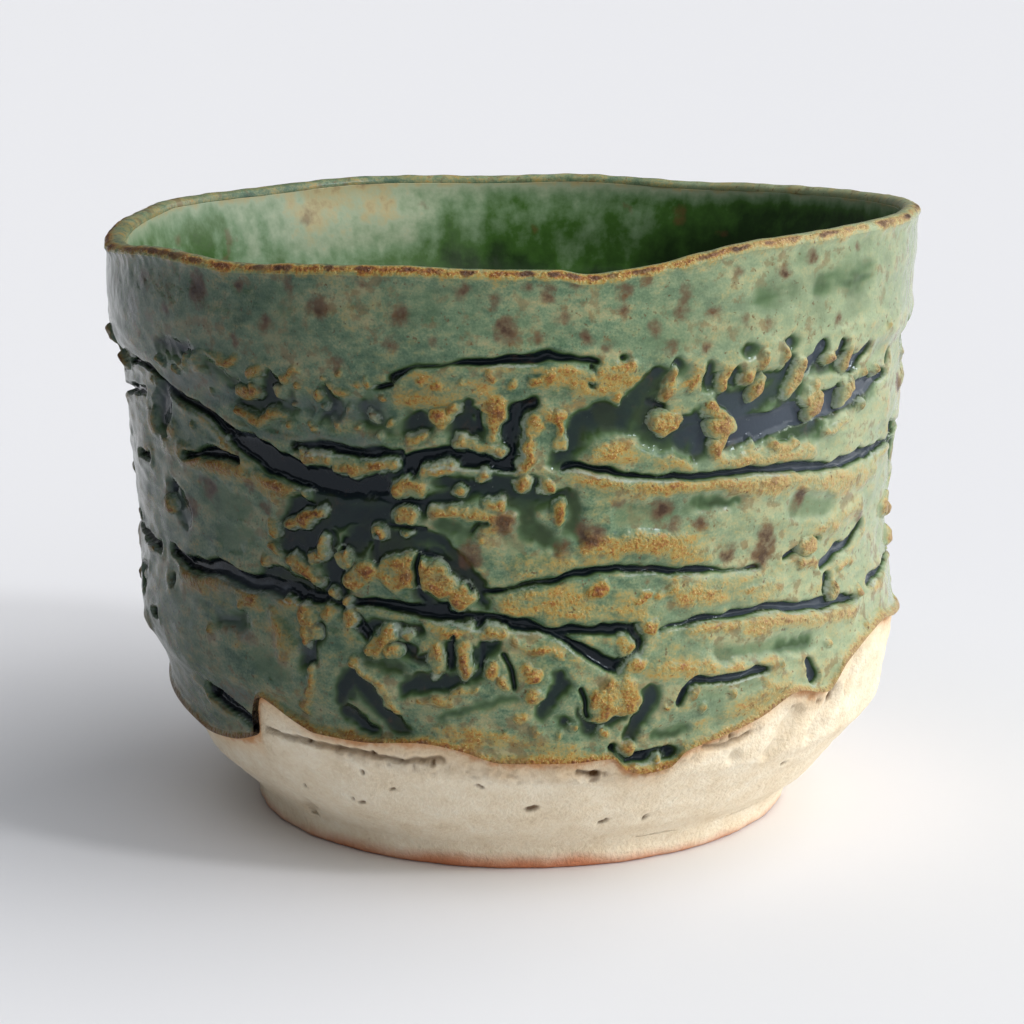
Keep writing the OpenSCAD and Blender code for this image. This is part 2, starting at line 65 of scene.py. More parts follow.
MM = 0.001
FOOT_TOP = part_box("foot_ring")[1].z / MM
CUP_TOP = cad_high.z / MM
WALL_LIMIT = cad_high.x / MM - 0.1
WALL_R = 31.0
DEGREE = math.radians(WALL_R)
COLUMNS = 1440
FEW_COLUMNS = 720
# How far inside the outline lie the glaze's own level, the bare clay, the backs of the glazed bands, and
# the clay behind them
GLAZE_SINK = 0.15
BARE_SINK = 0.42
BACK_SINK = 1.5
HIDDEN_SINK = 1.7
# By how much the lip thins to its edge, and the heights between which it does
LIP_TAPER = 0.8
TAPER_FROM, TAPER_TO = 41.5, 46.5

# Outline of the wall on the left and on the right, as (height, radius)
LEFT_WALL = [(0, 21.1), (1.6, 21.3), (3.2, 22.6), (4.4, 23.9), (5.5, 25.1), (7.3, 26.1), (9.9, 27.5),
             (13.1, 28.5), (15.4, 29.7), (17.9, 30.1), (22, 29.9), (24.8, 30.1), (28.9, 30.5), (32.7, 30.7),
             (36.1, 30.9), (38.9, 31.9), (42, 32.2), (45, 32), (50, 32)]
RIGHT_WALL = [(0, 22.4), (0.8, 22.7), (2.2, 23.4), (3.8, 25.4), (6.1, 27.3), (7.9, 28.9), (9.6, 30.2),
              (12.2, 30.6), (15.5, 31), (18.2, 30.7), (21.6, 30.2), (24.5, 30.1), (26.8, 30.4), (29.4, 30.6),
              (33.5, 31), (38.1, 31.1), (39.6, 31.7), (43.2, 31.8), (44.8, 32), (50, 32)]

# Lines round the cup, as (angle, height)
RIM_LINE = [(-76, 45.6), (-53, 46.4), (-39, 46.1), (-28, 46.4), (-15, 46.6), (-4, 46.5), (6, 46.4),
            (9, 46.1), (15, 46.4), (20, 46.8), (26, 47.4), (33, 47.9), (44, 48.1), (54, 48.2), (71, 48.2),
            (92, 47.9), (115, 47.4), (137, 47), (149, 46.8), (162, 47), (169, 47.1), (-178, 46.9),
            (-155, 47.1), (-133, 46.7), (-113, 46.7), (-107, 46.4)]
GLAZE_LINE = [(-150, 11.2), (-100, 10.6), (-65, 9.3), (-58, 8.8), (-50, 9.2), (-44, 10), (-42.6, 10.5),
              (-41.7, 12.3), (-40.2, 13.5), (-38.6, 13.9), (-36.8, 13.5), (-34.5, 12.8), (-32, 12.2),
              (-29.7, 11.8), (-22, 11.7), (-12.7, 12.1), (-7.4, 11.7), (-1.2, 10.8), (8, 10.8),
              (14, 11), (16.5, 9.9), (19, 9.6), (22.5, 9.9), (25, 11.1), (30, 11.8), (36.5, 12.8),
              (43, 14.2), (50, 13.4), (54, 15.3), (62, 16.7), (67, 17), (73, 16.5), (100, 15),
              (125, 13.6), (150, 12.8), (175, 12.4)]
LOWER_TEAR_LINE = [(-150, 22), (-95, 22.8), (-58, 23), (-44, 22.9), (-28, 22.2), (-6, 21.8),
                   (12, 20.3), (30, 20.8), (42, 20.6), (52, 19.8), (95, 21), (140, 22.1), (180, 22.8)]
UPPER_TEAR_LINE = [(-150, 30.8), (-90, 33.2), (-52, 35.4), (-38, 32.7), (-24, 30.5), (-10, 33.1), (8, 32.5),
                   (15, 31.8), (25, 31.3), (38, 31.1), (55, 30.4), (95, 31.4), (140, 32.8), (180, 31.4)]
UPPER_TEAR_GAPE = [(-150, 1.5), (-80, 1.1), (-48, 1.8), (-30, 3.2), (-16, 2.6), (-4, 1.3), (20, 0.7),
                   (44, 0.8), (60, 1.6), (110, 1.1), (165, 2)]
LEDGE_LINE = [(-150, 39.8), (-80, 39.4), (-14, 38.8), (-2, 40.1), (6, 40.5), (14, 39.6), (40, 40.4),
              (100, 40.3), (160, 39.6)]
LOWER_TEAR_W = 1.2
LEDGE_TEAR_W = 0.8
RIM_BEAD_H = 0.7

# Strokes on the torn wall, each a line of (angle, height, half width). These are the deep tears
TEARS = [
    [(-14.9, 38.7, .2), (-12, 39.7, .22), (-8.3, 39.9, .18), (-4.3, 40.1, .2), (-.3, 40.3, .28),
     (2.5, 40.3, .32), (4.6, 40.6, .32), (6.5, 40.4, .18), (10.8, 40.1, .08)],
    [(-18.3, 38, .06), (-15.2, 38.25, .08)],
    [(10, 39.8, .06), (10, 38.3, .08)],
    [(-48, 35, .25), (-44.2, 34.2, .35), (-40.1, 33, .6), (-37.4, 32.7, .9), (-34.3, 32, 1),
     (-31.2, 31.5, 1), (-28.1, 31.2, .9), (-22, 30.8, 1), (-18.9, 30.8, .9), (-16.4, 31.3, .8),
     (-15.2, 32, .9), (-13.6, 32.5, .8), (-11.8, 33, .6), (-8.9, 33.3, .55), (-5.8, 33.2, .55),
     (-2.8, 32.9, .45), (.3, 33, .5)],
    [(-30.3, 33.3, .25), (-26.6, 33.5, .35), (-20.4, 33.1, .35), (-17.3, 33.4, .3),
     (-14.9, 33.4, .25)],
    [(2.8, 37.2, .4), (.4, 36.4, .5), (.6, 34, .55), (.3, 33, .5)],
    [(7.1, 32.4, .14), (9, 32.5, .24), (11.4, 32.2, .2), (15.1, 31.75, .16), (25, 31.3, .2),
     (35.3, 31.25, .24), (44.2, 30.9, .28), (50, 30.3, .26), (52.2, 30.5, .4), (60.5, 30.6, .4),
     (63, 30.5, .3)],
    [(69.7, 31.8, .25), (74.7, 31.3, .35)],
    [(-3.7, 23.6, .08), (.3, 23.8, .1), (6.5, 24.4, .2), (11.4, 25, .22), (17.3, 24.7, .22),
     (25, 24.4, .18), (30.3, 24.1, .08), (36.5, 23.8, .04)],
    [(41.7, 24.2, .12), (44.2, 24.6, .18), (47.3, 25, .18), (49.1, 25.1, .1)],
    [(50.3, 23, .25), (53.7, 23.7, .4), (57.4, 23.8, .35), (62, 24.7, .2)],
    [(-59.6, 23.2, .4), (-55, 22.6, .45), (-45.4, 23, .55), (-42, 22.6, .6), (-35.8, 22.6, .55),
     (-29.7, 22.2, .5), (-19.8, 22.3, .35), (-15.8, 22.2, .4), (-12.4, 21.8, .45), (-8.9, 21.9, .6),
     (-4.9, 21.4, .5), (1.3, 21.2, .4), (4.6, 20.7, .3), (13.6, 20.5, .3)],
    [(5.4, 20.6, .25), (7.7, 19.8, .3), (9.6, 19.2, .35), (11.7, 18.6, .5), (14.2, 17.9, .5),
     (16.5, 18.4, .5), (17.5, 19.6, .4), (16.8, 20.5, .35), (13.6, 20.5, .3)],
    [(20.6, 20.1, .12), (22, 20.4, .16), (27.9, 20.8, .15), (31.9, 20.75, .2), (40.2, 20.7, .26),
     (47.3, 20.2, .36), (50, 20, .4), (55.3, 19.7, .25), (59.3, 19.5, .1)],
    [(51, 21, .4), (51.3, 22, .35)],
    [(29.7, 33.8, .6), (31.9, 34.2, .75), (39.6, 34.7, .8), (48.8, 35.3, .8), (55, 35.5, .75),
     (59.3, 35.8, .6), (62, 36.2, .45), (65.4, 36.3, .3)],
    [(43.3, 38.2, .5), (44.5, 39.2, .5), (45.7, 39.8, .4)],
    [(48.8, 38.8, .35), (49.8, 39.7, .3)],
    [(53.7, 37.7, .4), (56.8, 38.7, .45)],
    [(-70.4, 36.8, .1), (-65.8, 37.2, .14), (-59.6, 36.8, .16), (-53.4, 35.5, .22), (-48, 35, .22)],
    [(-52.2, 31, .25), (-48.8, 31.6, .3), (-44.2, 31.8, .3), (-40.5, 31.7, .25)],
    [(-70, 29.7, .2), (-64.8, 30, .25)],
    [(-68.8, 17.2, .2), (-65.8, 17.5, .25)],
    [(-53.4, 12.5, .6), (-50.3, 12.3, .6), (-44.2, 11.3, .35), (-38.9, 11, .25)],
    [(-22.3, 20.7, .3), (-20.4, 19.8, .35)],
    [(14.2, 11.7, .3), (15.7, 10.7, .4), (18.8, 10.7, .45), (22, 11, .45), (24.2, 10.7, .3)],
    [(45.7, 16, .4), (46.4, 15.3, .5), (47.3, 14.8, .5)],
    [(23.4, 14.7, .2), (24.2, 15.7, .3), (25.7, 16.3, .24), (31.9, 16.2, .22), (35.3, 16.4, .22),
     (37.7, 16.2, .14)],
    [(-5.3, 28, .1), (-4.5, 28.5, .14), (-3.4, 28.4, .08)],
    [(13.9, 40.3, .25)],
    [(66, 37.5, .5)],
    [(-57.1, 28.2, .4)],
    [(-59.6, 20.8, .4)],
]

# Pools of dark green glass, shallower than the tears
POOLS = [
    [(-33.2, 38.3, .3), (-33.1, 37, .5), (-35.8, 36.2, .6), (-38.9, 36, .35)], [(-12.3, 35.7, .75)],
    [(-5.7, 37.3, .25), (-6.5, 36.5, .6), (-6, 35.3, .8)], [(-26.9, 29.8, .7), (-16.1, 29.3, .7)],
    [(-30, 29.2, .5)], [(-32.4, 26.2, .5), (-29.7, 27, .8), (-26.6, 27.8, .8), (-24.7, 28.5, .7)],
    [(-25.4, 27, .35), (-25.7, 25.3, .35), (-25.4, 24.2, .35), (-26.6, 23.2, .35)],
    [(-17.6, 26.5, .3), (-11.8, 27.5, .3)],
    [(-18.3, 26, .2), (-16.4, 26.6, .2), (-13.6, 26.8, .2), (-10.2, 26.2, .2), (-7.1, 25, .2),
     (-5.5, 24.2, .2), (-4.3, 23.5, .2), (-4.1, 22.8, .2)],
    [(-12.7, 24.5, .15), (-13, 23.7, .15), (-11.8, 22.8, .15), (-9.9, 22.3, .15)],
    [(-9.5, 31.5, .4), (-5.8, 31.3, .4), (-1.8, 30.9, .4), (.9, 30.7, .4), (7.1, 30.6, .35)],
    [(-12, 29.7, .3), (-10.2, 30, .3)],
    [(6.2, 33.3, .5), (8, 34.9, .6), (9.6, 36, .6), (11.4, 36.5, .6), (14.2, 36, .6), (15.9, 37, .7),
     (17.6, 38.3, .5), (18.5, 39, .35)],
    [(19.9, 34.5, .35), (22.6, 35.3, .4), (25.1, 35.7, .4), (26.6, 35.2, .4), (26, 34.2, .4),
     (25.4, 33.3, .3)], [(18, 36.9, .2), (19.5, 36.6, .2)], [(26.5, 38.6, .3), (26.5, 39.2, .3)],
    [(30.8, 38.7, .35)], [(37.2, 38.1, .35)], [(21.5, 39.5, .3)], [(32.2, 40.4, .25)],
    [(39, 40.5, .25)],
    [(28.8, 36.7, .4), (31, 36.8, .5), (34, 36.5, .5), (37.1, 37, .4), (39.6, 38.3, .35),
     (39.6, 39, .3)], [(31, 35.6, .6), (34, 35.9, .4)], [(42, 37, .35), (39.6, 35.8, .4)],
    [(-53.6, 39.6, .2), (-48.3, 39.8, .24)], [(-58.4, 34.8, .5), (-58.7, 33.3, .5)],
    [(-28.4, 19.7, .6), (-29.7, 17.7, .6)], [(-15.8, 19.2, .4), (-13.6, 19, .4)],
    [(-14.9, 16.2, .4), (-13, 16.7, .5), (-9.9, 16.8, .5), (-8, 17.3, .4)],
    [(-24.7, 15, .4), (-24.1, 16, .5), (-22.3, 17, .5), (-20.4, 15.8, .6), (-18.6, 14.7, .6),
     (-16.7, 13.5, .6), (-15.5, 12.7, .5)], [(-24.4, 14, .4), (-22.3, 13.3, .5), (-20.7, 12.5, .4)],
    [(-8.3, 19.4, .5), (-8.3, 18.4, .5)], [(-2.8, 19.8, .5), (-4.3, 18.8, .5)],
    [(6.2, 17.5, .4), (6.5, 16.7, .5), (5.3, 15.7, .5), (4, 14.8, .4)], [(6.8, 14, .45)],
    [(9.6, 14.8, .3), (10.8, 13.3, .3), (12.7, 13.8, .3), (15, 14.2, .25)],
    [(19.1, 16, .4), (18.8, 14.7, .5), (17.6, 13.7, .45), (16.7, 12.5, .4)],
    [(39.5, 33.6, .25), (46, 33.9, .25)], [(-37, 23.7, .4), (-28.1, 22.9, .4)],
    [(-24.6, 37.5, .1), (-24, 36.6, .2), (-24.8, 36, .12)], [(-19.4, 36.8, .12), (-19, 35.8, .16)],
]

# Soft green pools, shallower still
GREENS = [
    [(1.4, 30, .5), (2.2, 28.4, .9), (4, 27.6, .8), (5.6, 27.2, .6)],
    [(8.6, 29.5, .5), (8.4, 27.8, .6)], [(-9, 28.2, .7), (-5.6, 27.9, .6)],
    [(-24.4, 37.2, .2), (-23.2, 36.3, .3)], [(-27.7, 36.2, .2)], [(-26, 35.5, .2)],
    [(-29.7, 37.4, .2), (-30.4, 36.2, .3)], [(-18.6, 37.8, .2), (-17.6, 36, .3), (-16, 34.7, .3)],
    [(-46.6, 19, .4), (-41.1, 19.7, .5)],
    [(-10.2, 14.2, .3), (-5.8, 15, .35), (-1.2, 15.8, .35), (.3, 16, .3)],
    [(10, 35.2, .6), (15.5, 35.8, .6)], [(18.6, 34.4, .5), (24, 33.8, .6)],
    [(31, 36.2, .5), (37, 36.4, .5)], [(-20, 18.6, .5), (-15, 17.6, .5)],
    [(26, 29.4, .5), (32, 29.2, .4)], [(-57, 28, 1), (-54, 26.4, .8)],
    [(-44, 38.6, .6), (-40, 37.6, .5)], [(40, 17.8, .4), (46, 17.6, .5)],
    [(20.4, 12.4, .4), (24.6, 12.6, .3)],
]

# Low ground that the glass has filled between heaped lumps
BASINS = [
    [(-33, 26.8, .6), (-30.5, 28.6, .9), (-26, 28.6, 1.2), (-21, 28.9, 1), (-17.5, 29.2, .8)],
    [(-31.5, 26, .6), (-27.5, 26.2, .9), (-25, 25, .8), (-25, 23.4, .7)],
    [(-22.5, 26.6, .7), (-19.5, 27.7, .7), (-15.5, 27.4, .4), (-12, 27.6, .4), (-9, 26.8, .4),
     (-6.5, 25.4, .4), (-4.3, 23.8, .35)],
    [(-18, 30, .7), (-12.5, 29.8, .45), (-9, 30.3, .5), (-5, 31.2, .6), (0, 31.5, .7), (4, 30.9, .7)],
    [(-2.6, 33.2, .5), (.4, 33.6, .7), (.2, 35.4, .75), (.6, 36.5, .6)],
    [(-36.5, 36, .45), (-33.2, 37.2, .5)], [(-7, 35, .5), (-5.6, 36.6, .5)],
    [(7.5, 34.4, .5), (9.5, 36.2, .55), (14, 36.3, .6), (17.6, 38, .6)],
    [(17.6, 35.2, .4), (18, 37, .4)], [(23, 34.4, .5), (25.4, 34.8, .6)],
    [(26.2, 38.4, .4), (30.4, 38.2, .4), (36.4, 38, .4), (39.2, 38, .4)],
    [(29, 36.9, .4), (37, 36.7, .4), (42, 36.2, .5)],
    [(43.6, 38.6, .45), (48.6, 38.6, .45), (54, 38, .45)],
    [(30.5, 34.2, .8), (40, 34.9, .8), (50, 35.5, .8), (60, 36, .7)],
    [(-24, 21.6, .45), (-20.5, 20.6, .4), (-13, 20.6, .4)],
    [(-12.6, 18.6, .4), (-8.2, 19, .5), (-4, 19, .5)],
    [(-14, 16.5, .4), (-9, 16.9, .5), (-4.6, 17.6, .4)], [(5.6, 16.6, .45), (4.4, 15, .4)],
    [(-24, 15.2, .35), (-22, 16.6, .45), (-18.4, 14.8, .6), (-16, 13.2, .5)],
    [(18.8, 15.6, .4), (17.4, 13.6, .4)], [(-58, 34.4, .6), (-57, 36, .4)],
]

# Wide shallows of celadon, where the glaze is only a little thicker
SHALLOWS = [
    [(9, 35, .9), (13, 35.4, .9), (17, 35.6, .8)], [(2.8, 37.7, .4), (7.1, 37.7, .4)],
    [(20, 34, .5), (25, 34.2, .5)], [(30, 35.6, .7), (36, 36, .6)], [(26, 15.4, .5), (36, 15.5, .5)],
    [(-22, 15.2, .8), (-19, 13.6, .7)], [(23.9, 29.2, .6)], [(28.8, 29.7, .5)],
    [(-20, 36.5, 1), (-17, 37.3, .8)], [(-28, 33.9, .4), (-20, 34, .4)], [(43, 28, 1), (50, 27.4, .9)],
    [(15, 29, 1), (21, 28.8, .9)], [(1, 26.9, .7), (-1, 27.4, .6)], [(-46, 28.5, 1.4), (-40, 28, 1.2)],
    [(-44, 25.5, 1), (-39, 26.2, .8)], [(30, 18, .9), (40, 18, .8)], [(-38, 17, 1.2), (-34, 16, 1)],
    [(-34, 34.8, .4), (-30, 36, .5)],
]

# Ridges and lumps of torn clay
RIDGES = [
    [(-41.4, 38.7, .35), (-38.6, 39.3, .35)], [(-36.1, 38.2, .4), (-34.3, 38.8, .4)],
    [(-36.3, 37.1, .6)], [(-31.8, 37.2, .45)], [(-30.9, 38.2, .35), (-28.4, 38.9, .35)],
    [(-26.1, 37.2, .45)], [(-24.4, 38.4, .35)], [(-22.3, 38.9, .35)], [(-22.3, 37.5, .45)],
    [(-18.7, 38.5, .4)],
    [(-39.5, 35.3, .5), (-37.7, 34.8, .5), (-35.8, 34.5, .5), (-34, 35.3, .45), (-31.8, 35.7, .4)],
    [(-30.6, 34.9, .35)], [(-26.6, 34.7, .35)], [(-15.8, 35.5, .4)],
    [(-14, 37.8, .7), (-12.4, 37.5, .7)], [(-13.5, 34.4, .3), (-11.5, 34.7, .3)],
    [(-29, 32.7, .4), (-25, 32.4, .45)], [(-23.2, 32, .45), (-17.3, 32.4, .5), (-15.5, 32.7, .35)],
    [(-11.2, 32.2, .45), (-8, 32.6, .45)], [(-15, 30.9, .6), (-12.2, 30.9, .55)],
    [(-15, 28.9, .6), (-13.6, 28.9, .6)], [(-14.3, 27.8, .5)], [(-18, 27.6, .55)],
    [(-10.2, 29.2, .45), (-6, 29.4, .4)], [(-31.8, 27.5, .45), (-29, 28, .45), (-26.9, 28.7, .45)],
    [(-34.6, 27.1, .6)], [(-34.9, 25.5, .45)], [(-36.8, 24.4, .45)],
    [(-31.8, 24.7, .5), (-29.7, 24.2, .5), (-27.8, 23.7, .5)], [(-26.3, 26.5, .4), (-26.6, 25.3, .45)],
    [(-28.1, 25.2, .45)], [(-23.5, 25.5, .7)], [(-22.3, 23.8, .85), (-19.8, 24.7, .8)],
    [(-16.4, 24.6, 1.3), (-13.6, 24.9, 1.4)], [(-10.6, 24.4, 1.2), (-9.4, 24, 1.1)], [(-6.8, 23, 1)],
    [(-25.4, 22.7, .45)], [(-7.4, 36.8, .35), (-9.2, 35.6, .4)], [(-9.5, 38.3, .6)],
    [(-2, 37.2, .7), (-2.1, 36, .55), (-2.4, 34.8, .5)],
    [(-6.8, 34.5, .4), (-4.6, 34.2, .42), (-1.5, 33.9, .42)],
    [(2.8, 35.8, .7), (2.5, 34.2, .6), (1.6, 32.5, .45)], [(6.2, 35.7, .42), (5.9, 34, .42)],
    [(4.6, 36.5, .6)], [(2.8, 38.8, .5), (5, 39, .6)], [(-2.8, 39.1, .5)], [(9.6, 39, .4)],
    [(11.1, 39.2, .4)], [(15.1, 39.7, .45)], [(13.6, 37.6, .5)], [(8, 38.4, .5)], [(-3.5, 32, .45)],
    [(1.4, 31.4, .55)], [(4.6, 31.3, .5)], [(-7.1, 30.8, .5)], [(-2.6, 29.9, .6), (-1.6, 29.9, .6)],
    [(6.2, 29.8, .5), (6.2, 28.6, .45)], [(-3.7, 27.3, .45)],
    [(18.9, 35.7, .5), (19.9, 35, .5), (21.7, 35.5, .5)],
    [(26.6, 36.2, .55), (28.5, 35.7, .6), (29.4, 34.7, .6), (28.2, 33.7, .55), (27.9, 33, .5)],
    [(20.8, 38.8, .5), (19.9, 37.3, .5)], [(24.2, 38.7, .45), (24, 37.7, .5)],
    [(28.8, 38.8, .5), (28.4, 37.6, .4)], [(32.3, 38.2, .6)], [(34, 39, .45), (34.2, 39.8, .4)],
    [(38, 39.6, .55)], [(41.4, 38.7, .5), (40.8, 37.7, .55), (39.3, 36.7, .5)], [(46.8, 38.8, .5)],
    [(45.1, 36.8, .55), (43.3, 35.8, .5)], [(51.3, 39, .4), (51, 37.9, .45)], [(52.5, 36.3, .55)],
    [(56.8, 37.2, .45)], [(60.8, 37, .5)], [(63, 40.2, .4)], [(57.1, 34.5, .4)],
    [(36.8, 33.2, .35), (39, 32.5, .4), (41.7, 32.8, .35)], [(33.9, 33.1, .35)],
    [(48, 33.2, .35), (53, 33.6, .3)], [(45.3, 23.4, .5), (48.1, 23.5, .5)],
    [(19.9, 22.7, .35), (23.5, 23.5, .4)], [(10.4, 23.3, .6), (12.4, 23.7, .6)],
    [(15.4, 22.5, .35), (18.6, 23, .4)], [(6.3, 22.9, .4)], [(14.8, 38.6, .6)], [(7.4, 39.4, .5)],
    [(11.4, 38, .5)], [(22.4, 38, .45)], [(-11.4, 38.6, .5)], [(-6.2, 38.7, .45)], [(.2, 38.6, .45)],
    [(-29.6, 36.4, .28)], [(-27.4, 35, .32)], [(-25.2, 36.5, .3)], [(-23.6, 35.3, .34)],
    [(-21.4, 36.4, .34)], [(-20.4, 35, .28)], [(-18.4, 36, .34)], [(-16.8, 37.2, .34)],
    [(-17.6, 34.6, .3)], [(-28.6, 37.6, .3)], [(-23.4, 37.9, .3)], [(-20.4, 38.2, .34)],
    [(-52, 37.6, .4)], [(-44.6, 36.4, .35)], [(-50, 33.6, .35)], [(26, 22.6, .35), (30, 22.9, .3)],
    [(34, 22.2, .3), (37, 22.5, .3)], [(-48.6, 38.3, .45), (-47.4, 38.9, .4)], [(-55, 38, .5)],
    [(-60.2, 36.2, .45)], [(-42.9, 32.7, .4)], [(-48.5, 18.2, .5)],
    [(-41.7, 20.7, .45), (-38, 21.3, .4)], [(-32.8, 21.5, .5)], [(-29.4, 20.8, .85), (-29.4, 19, .4)],
    [(-26.6, 21.2, .5)], [(-22.9, 21, .7)], [(-23.4, 22.2, .35)], [(-16.7, 20.3, .7), (-19.2, 19, .7)],
    [(-14.3, 20.2, .4)], [(-10.2, 20.5, .55), (-6.1, 20.5, .55)],
    [(-10.6, 19.5, .5), (-10.2, 17.7, .5)], [(-6.5, 19.5, .5), (-6.3, 17.7, .5)],
    [(-3.2, 20.6, .5), (-1.6, 20.6, .45)], [(-12.4, 15.3, .3), (-8.4, 15.3, .45)],
    [(-7.7, 16.2, .35), (-4.6, 16.5, .3)], [(-2.8, 17.8, .7)], [(-1.2, 17, .5)], [(1.6, 17.8, .85)],
    [(2.8, 16, .7)], [(.9, 14.4, .5)], [(3.4, 13.3, .65)], [(-2.8, 12.8, .4), (-.9, 13, .4)],
    [(6.5, 12.8, .4)], [(8.3, 13.5, .4)], [(.3, 20, .4), (2.8, 19.5, .45), (7.1, 19, .4)],
    [(12, 15.2, 1.3), (14.5, 15.9, 1.7)], [(12.7, 13, .5)], [(16.4, 11.6, .75)], [(20.7, 10.3, .5)],
    [(17.6, 9.5, .6)], [(15.4, 19.3, .75)], [(18.7, 20.7, .75)], [(15.1, 17.3, .5), (17.6, 18.1, .45)],
    [(-22.3, 18, .35), (-18.6, 16.5, .35), (-15.8, 14.5, .35)],
    [(-29, 16.8, .4), (-29, 15.3, .4), (-30.9, 13.7, .4)], [(25.9, 15.6, .45)], [(27, 14.2, .45)],
    [(21.4, 14.5, .4)], [(31.6, 15, .4)], [(39.9, 16.7, .45)], [(50, 16.9, .45)], [(52.5, 20.8, .65)],
    [(54.5, 22.5, .4), (57.5, 22.6, .4)], [(60.2, 20, .5)], [(61.4, 17.3, .5)],
]

# Cracks that part the lumps from each other
CRACKS = [
    [(-12.4, 26.3, .1), (-13.3, 25.2, .12), (-13.4, 24.2, .13), (-12.6, 23.1, .13), (-11.2, 22.5, .1)],
    [(-12.4, 26.3, .1), (-10.4, 26.2, .12), (-8, 25.6, .13), (-6.6, 24.7, .13), (-5.4, 23.6, .1)],
    [(-18.4, 27.2, .1), (-18.9, 26.2, .14), (-18.6, 25.4, .08)],
    [(-23.2, 26.8, .12), (-24, 25.6, .1), (-24.4, 24.4, .12)], [(17.8, 36.9, .1), (19.8, 36.5, .08)],
    [(.8, 37, .1), (.4, 34.4, .14)], [(-4.2, 36.6, .1), (-4.4, 35.2, .12)],
    [(-8.2, 20.2, .1), (-8.3, 18.2, .14)], [(-3.8, 19.8, .1), (-4.2, 18.2, .12)],
    [(9.2, 16.4, .1), (10.2, 14.4, .12)], [(-1, 19, .08), (.4, 16.6, .1)],
    [(-20, 30.2, .1), (-15.6, 29.9, .1), (-11.6, 30, .1)], [(-16.6, 28.2, .1), (-11.8, 28.1, .1)],
]

# Slate-grey clouds in the glaze; the stroke under the lip's lower edge at the far left is painted shadow of
# the lip
SLATES_AND_LIP_SHADOW = [
    [(-31, 36.6, .7), (-24, 36, .9), (-17, 36.6, .8)], [(-56, 39.5, .5), (-46, 39.7, .5)],
    [(-58, 34.4, 1.6), (-55, 36.4, 1), (-44, 37.4, .8)],
    [(-40, 33.6, .5), (-30, 33.9, .6), (-18, 34.2, .6)], [(-57, 28, 1.2), (-54, 25.6, 1)],
    [(-46, 35.6, .8), (-40, 36.6, .7)], [(-48, 22.2, 1), (-34, 22, .8)],
    [(-46, 19.4, .8), (-40, 18.4, .8)], [(-50, 12.8, 1), (-43, 13.4, .8)], [(-30, 18.4, .9)],
    [(-62, 41.4, 1.4)],
]

# Soft swells beside the tears, where the glaze thins to amber
SWELLS = [
    [(5, 38.7, .7), (10, 38.4, .8), (15, 38.9, .7)],
    [(19.6, 38.2, .5), (24, 38.6, .7), (29, 38.8, .6)],
    [(-14, 37.4, .7), (-9, 37.8, .8), (-4, 38, .7)], [(-49, 38.4, .5), (-41, 38.8, .4)],
    [(9, 31.8, .4), (15.7, 31, .45), (27.2, 30.5, .45), (41.4, 29.9, .45), (45.7, 29.3, .5),
     (52, 28.8, .6), (63.6, 28.9, .6)],
    [(10.2, 26.8, .7), (15.7, 26.7, .8), (21.9, 26.5, .8), (27, 25.7, .6)],
    [(.9, 25.2, .4), (7.1, 25.6, .5)],
    [(25, 20, .4), (44, 19.6, .4), (46.6, 19, .4), (57.4, 18.8, .4)],
    [(0, 22.4, .8), (9, 22.6, .9), (18, 22.3, .8)], [(24, 22.6, .7), (40, 22.4, .7)],
    [(-58, 31.6, .4), (-44, 30.9, .4), (-34, 30.3, .4), (-27.5, 29.9, .35)],
    [(-56, 21.4, .5), (-46, 21.8, .5), (-38, 21.2, .5)],
    [(11, 33.9, .6), (17, 33.4, .5), (24, 32.6, .5)], [(30, 32.4, .4), (45, 32, .4)],
    [(9.5, 34.4, .5), (15.5, 34.3, .5)], [(-5, 28.9, .4), (0, 28.4, .6)],
    [(-34, 29.4, .3), (-30, 30, .3)], [(20, 17.6, .5), (40, 17.2, .5)], [(-10, 13, .5), (8, 12, .4)],
    [(-35, 20.3, .5), (-33, 18, .5)], [(-62, 33, .6), (-56, 32.6, .5)],
    [(31, 13.4, .4), (41, 14.8, .4)], [(50, 25.8, .5), (60, 26.4, .5)],
]

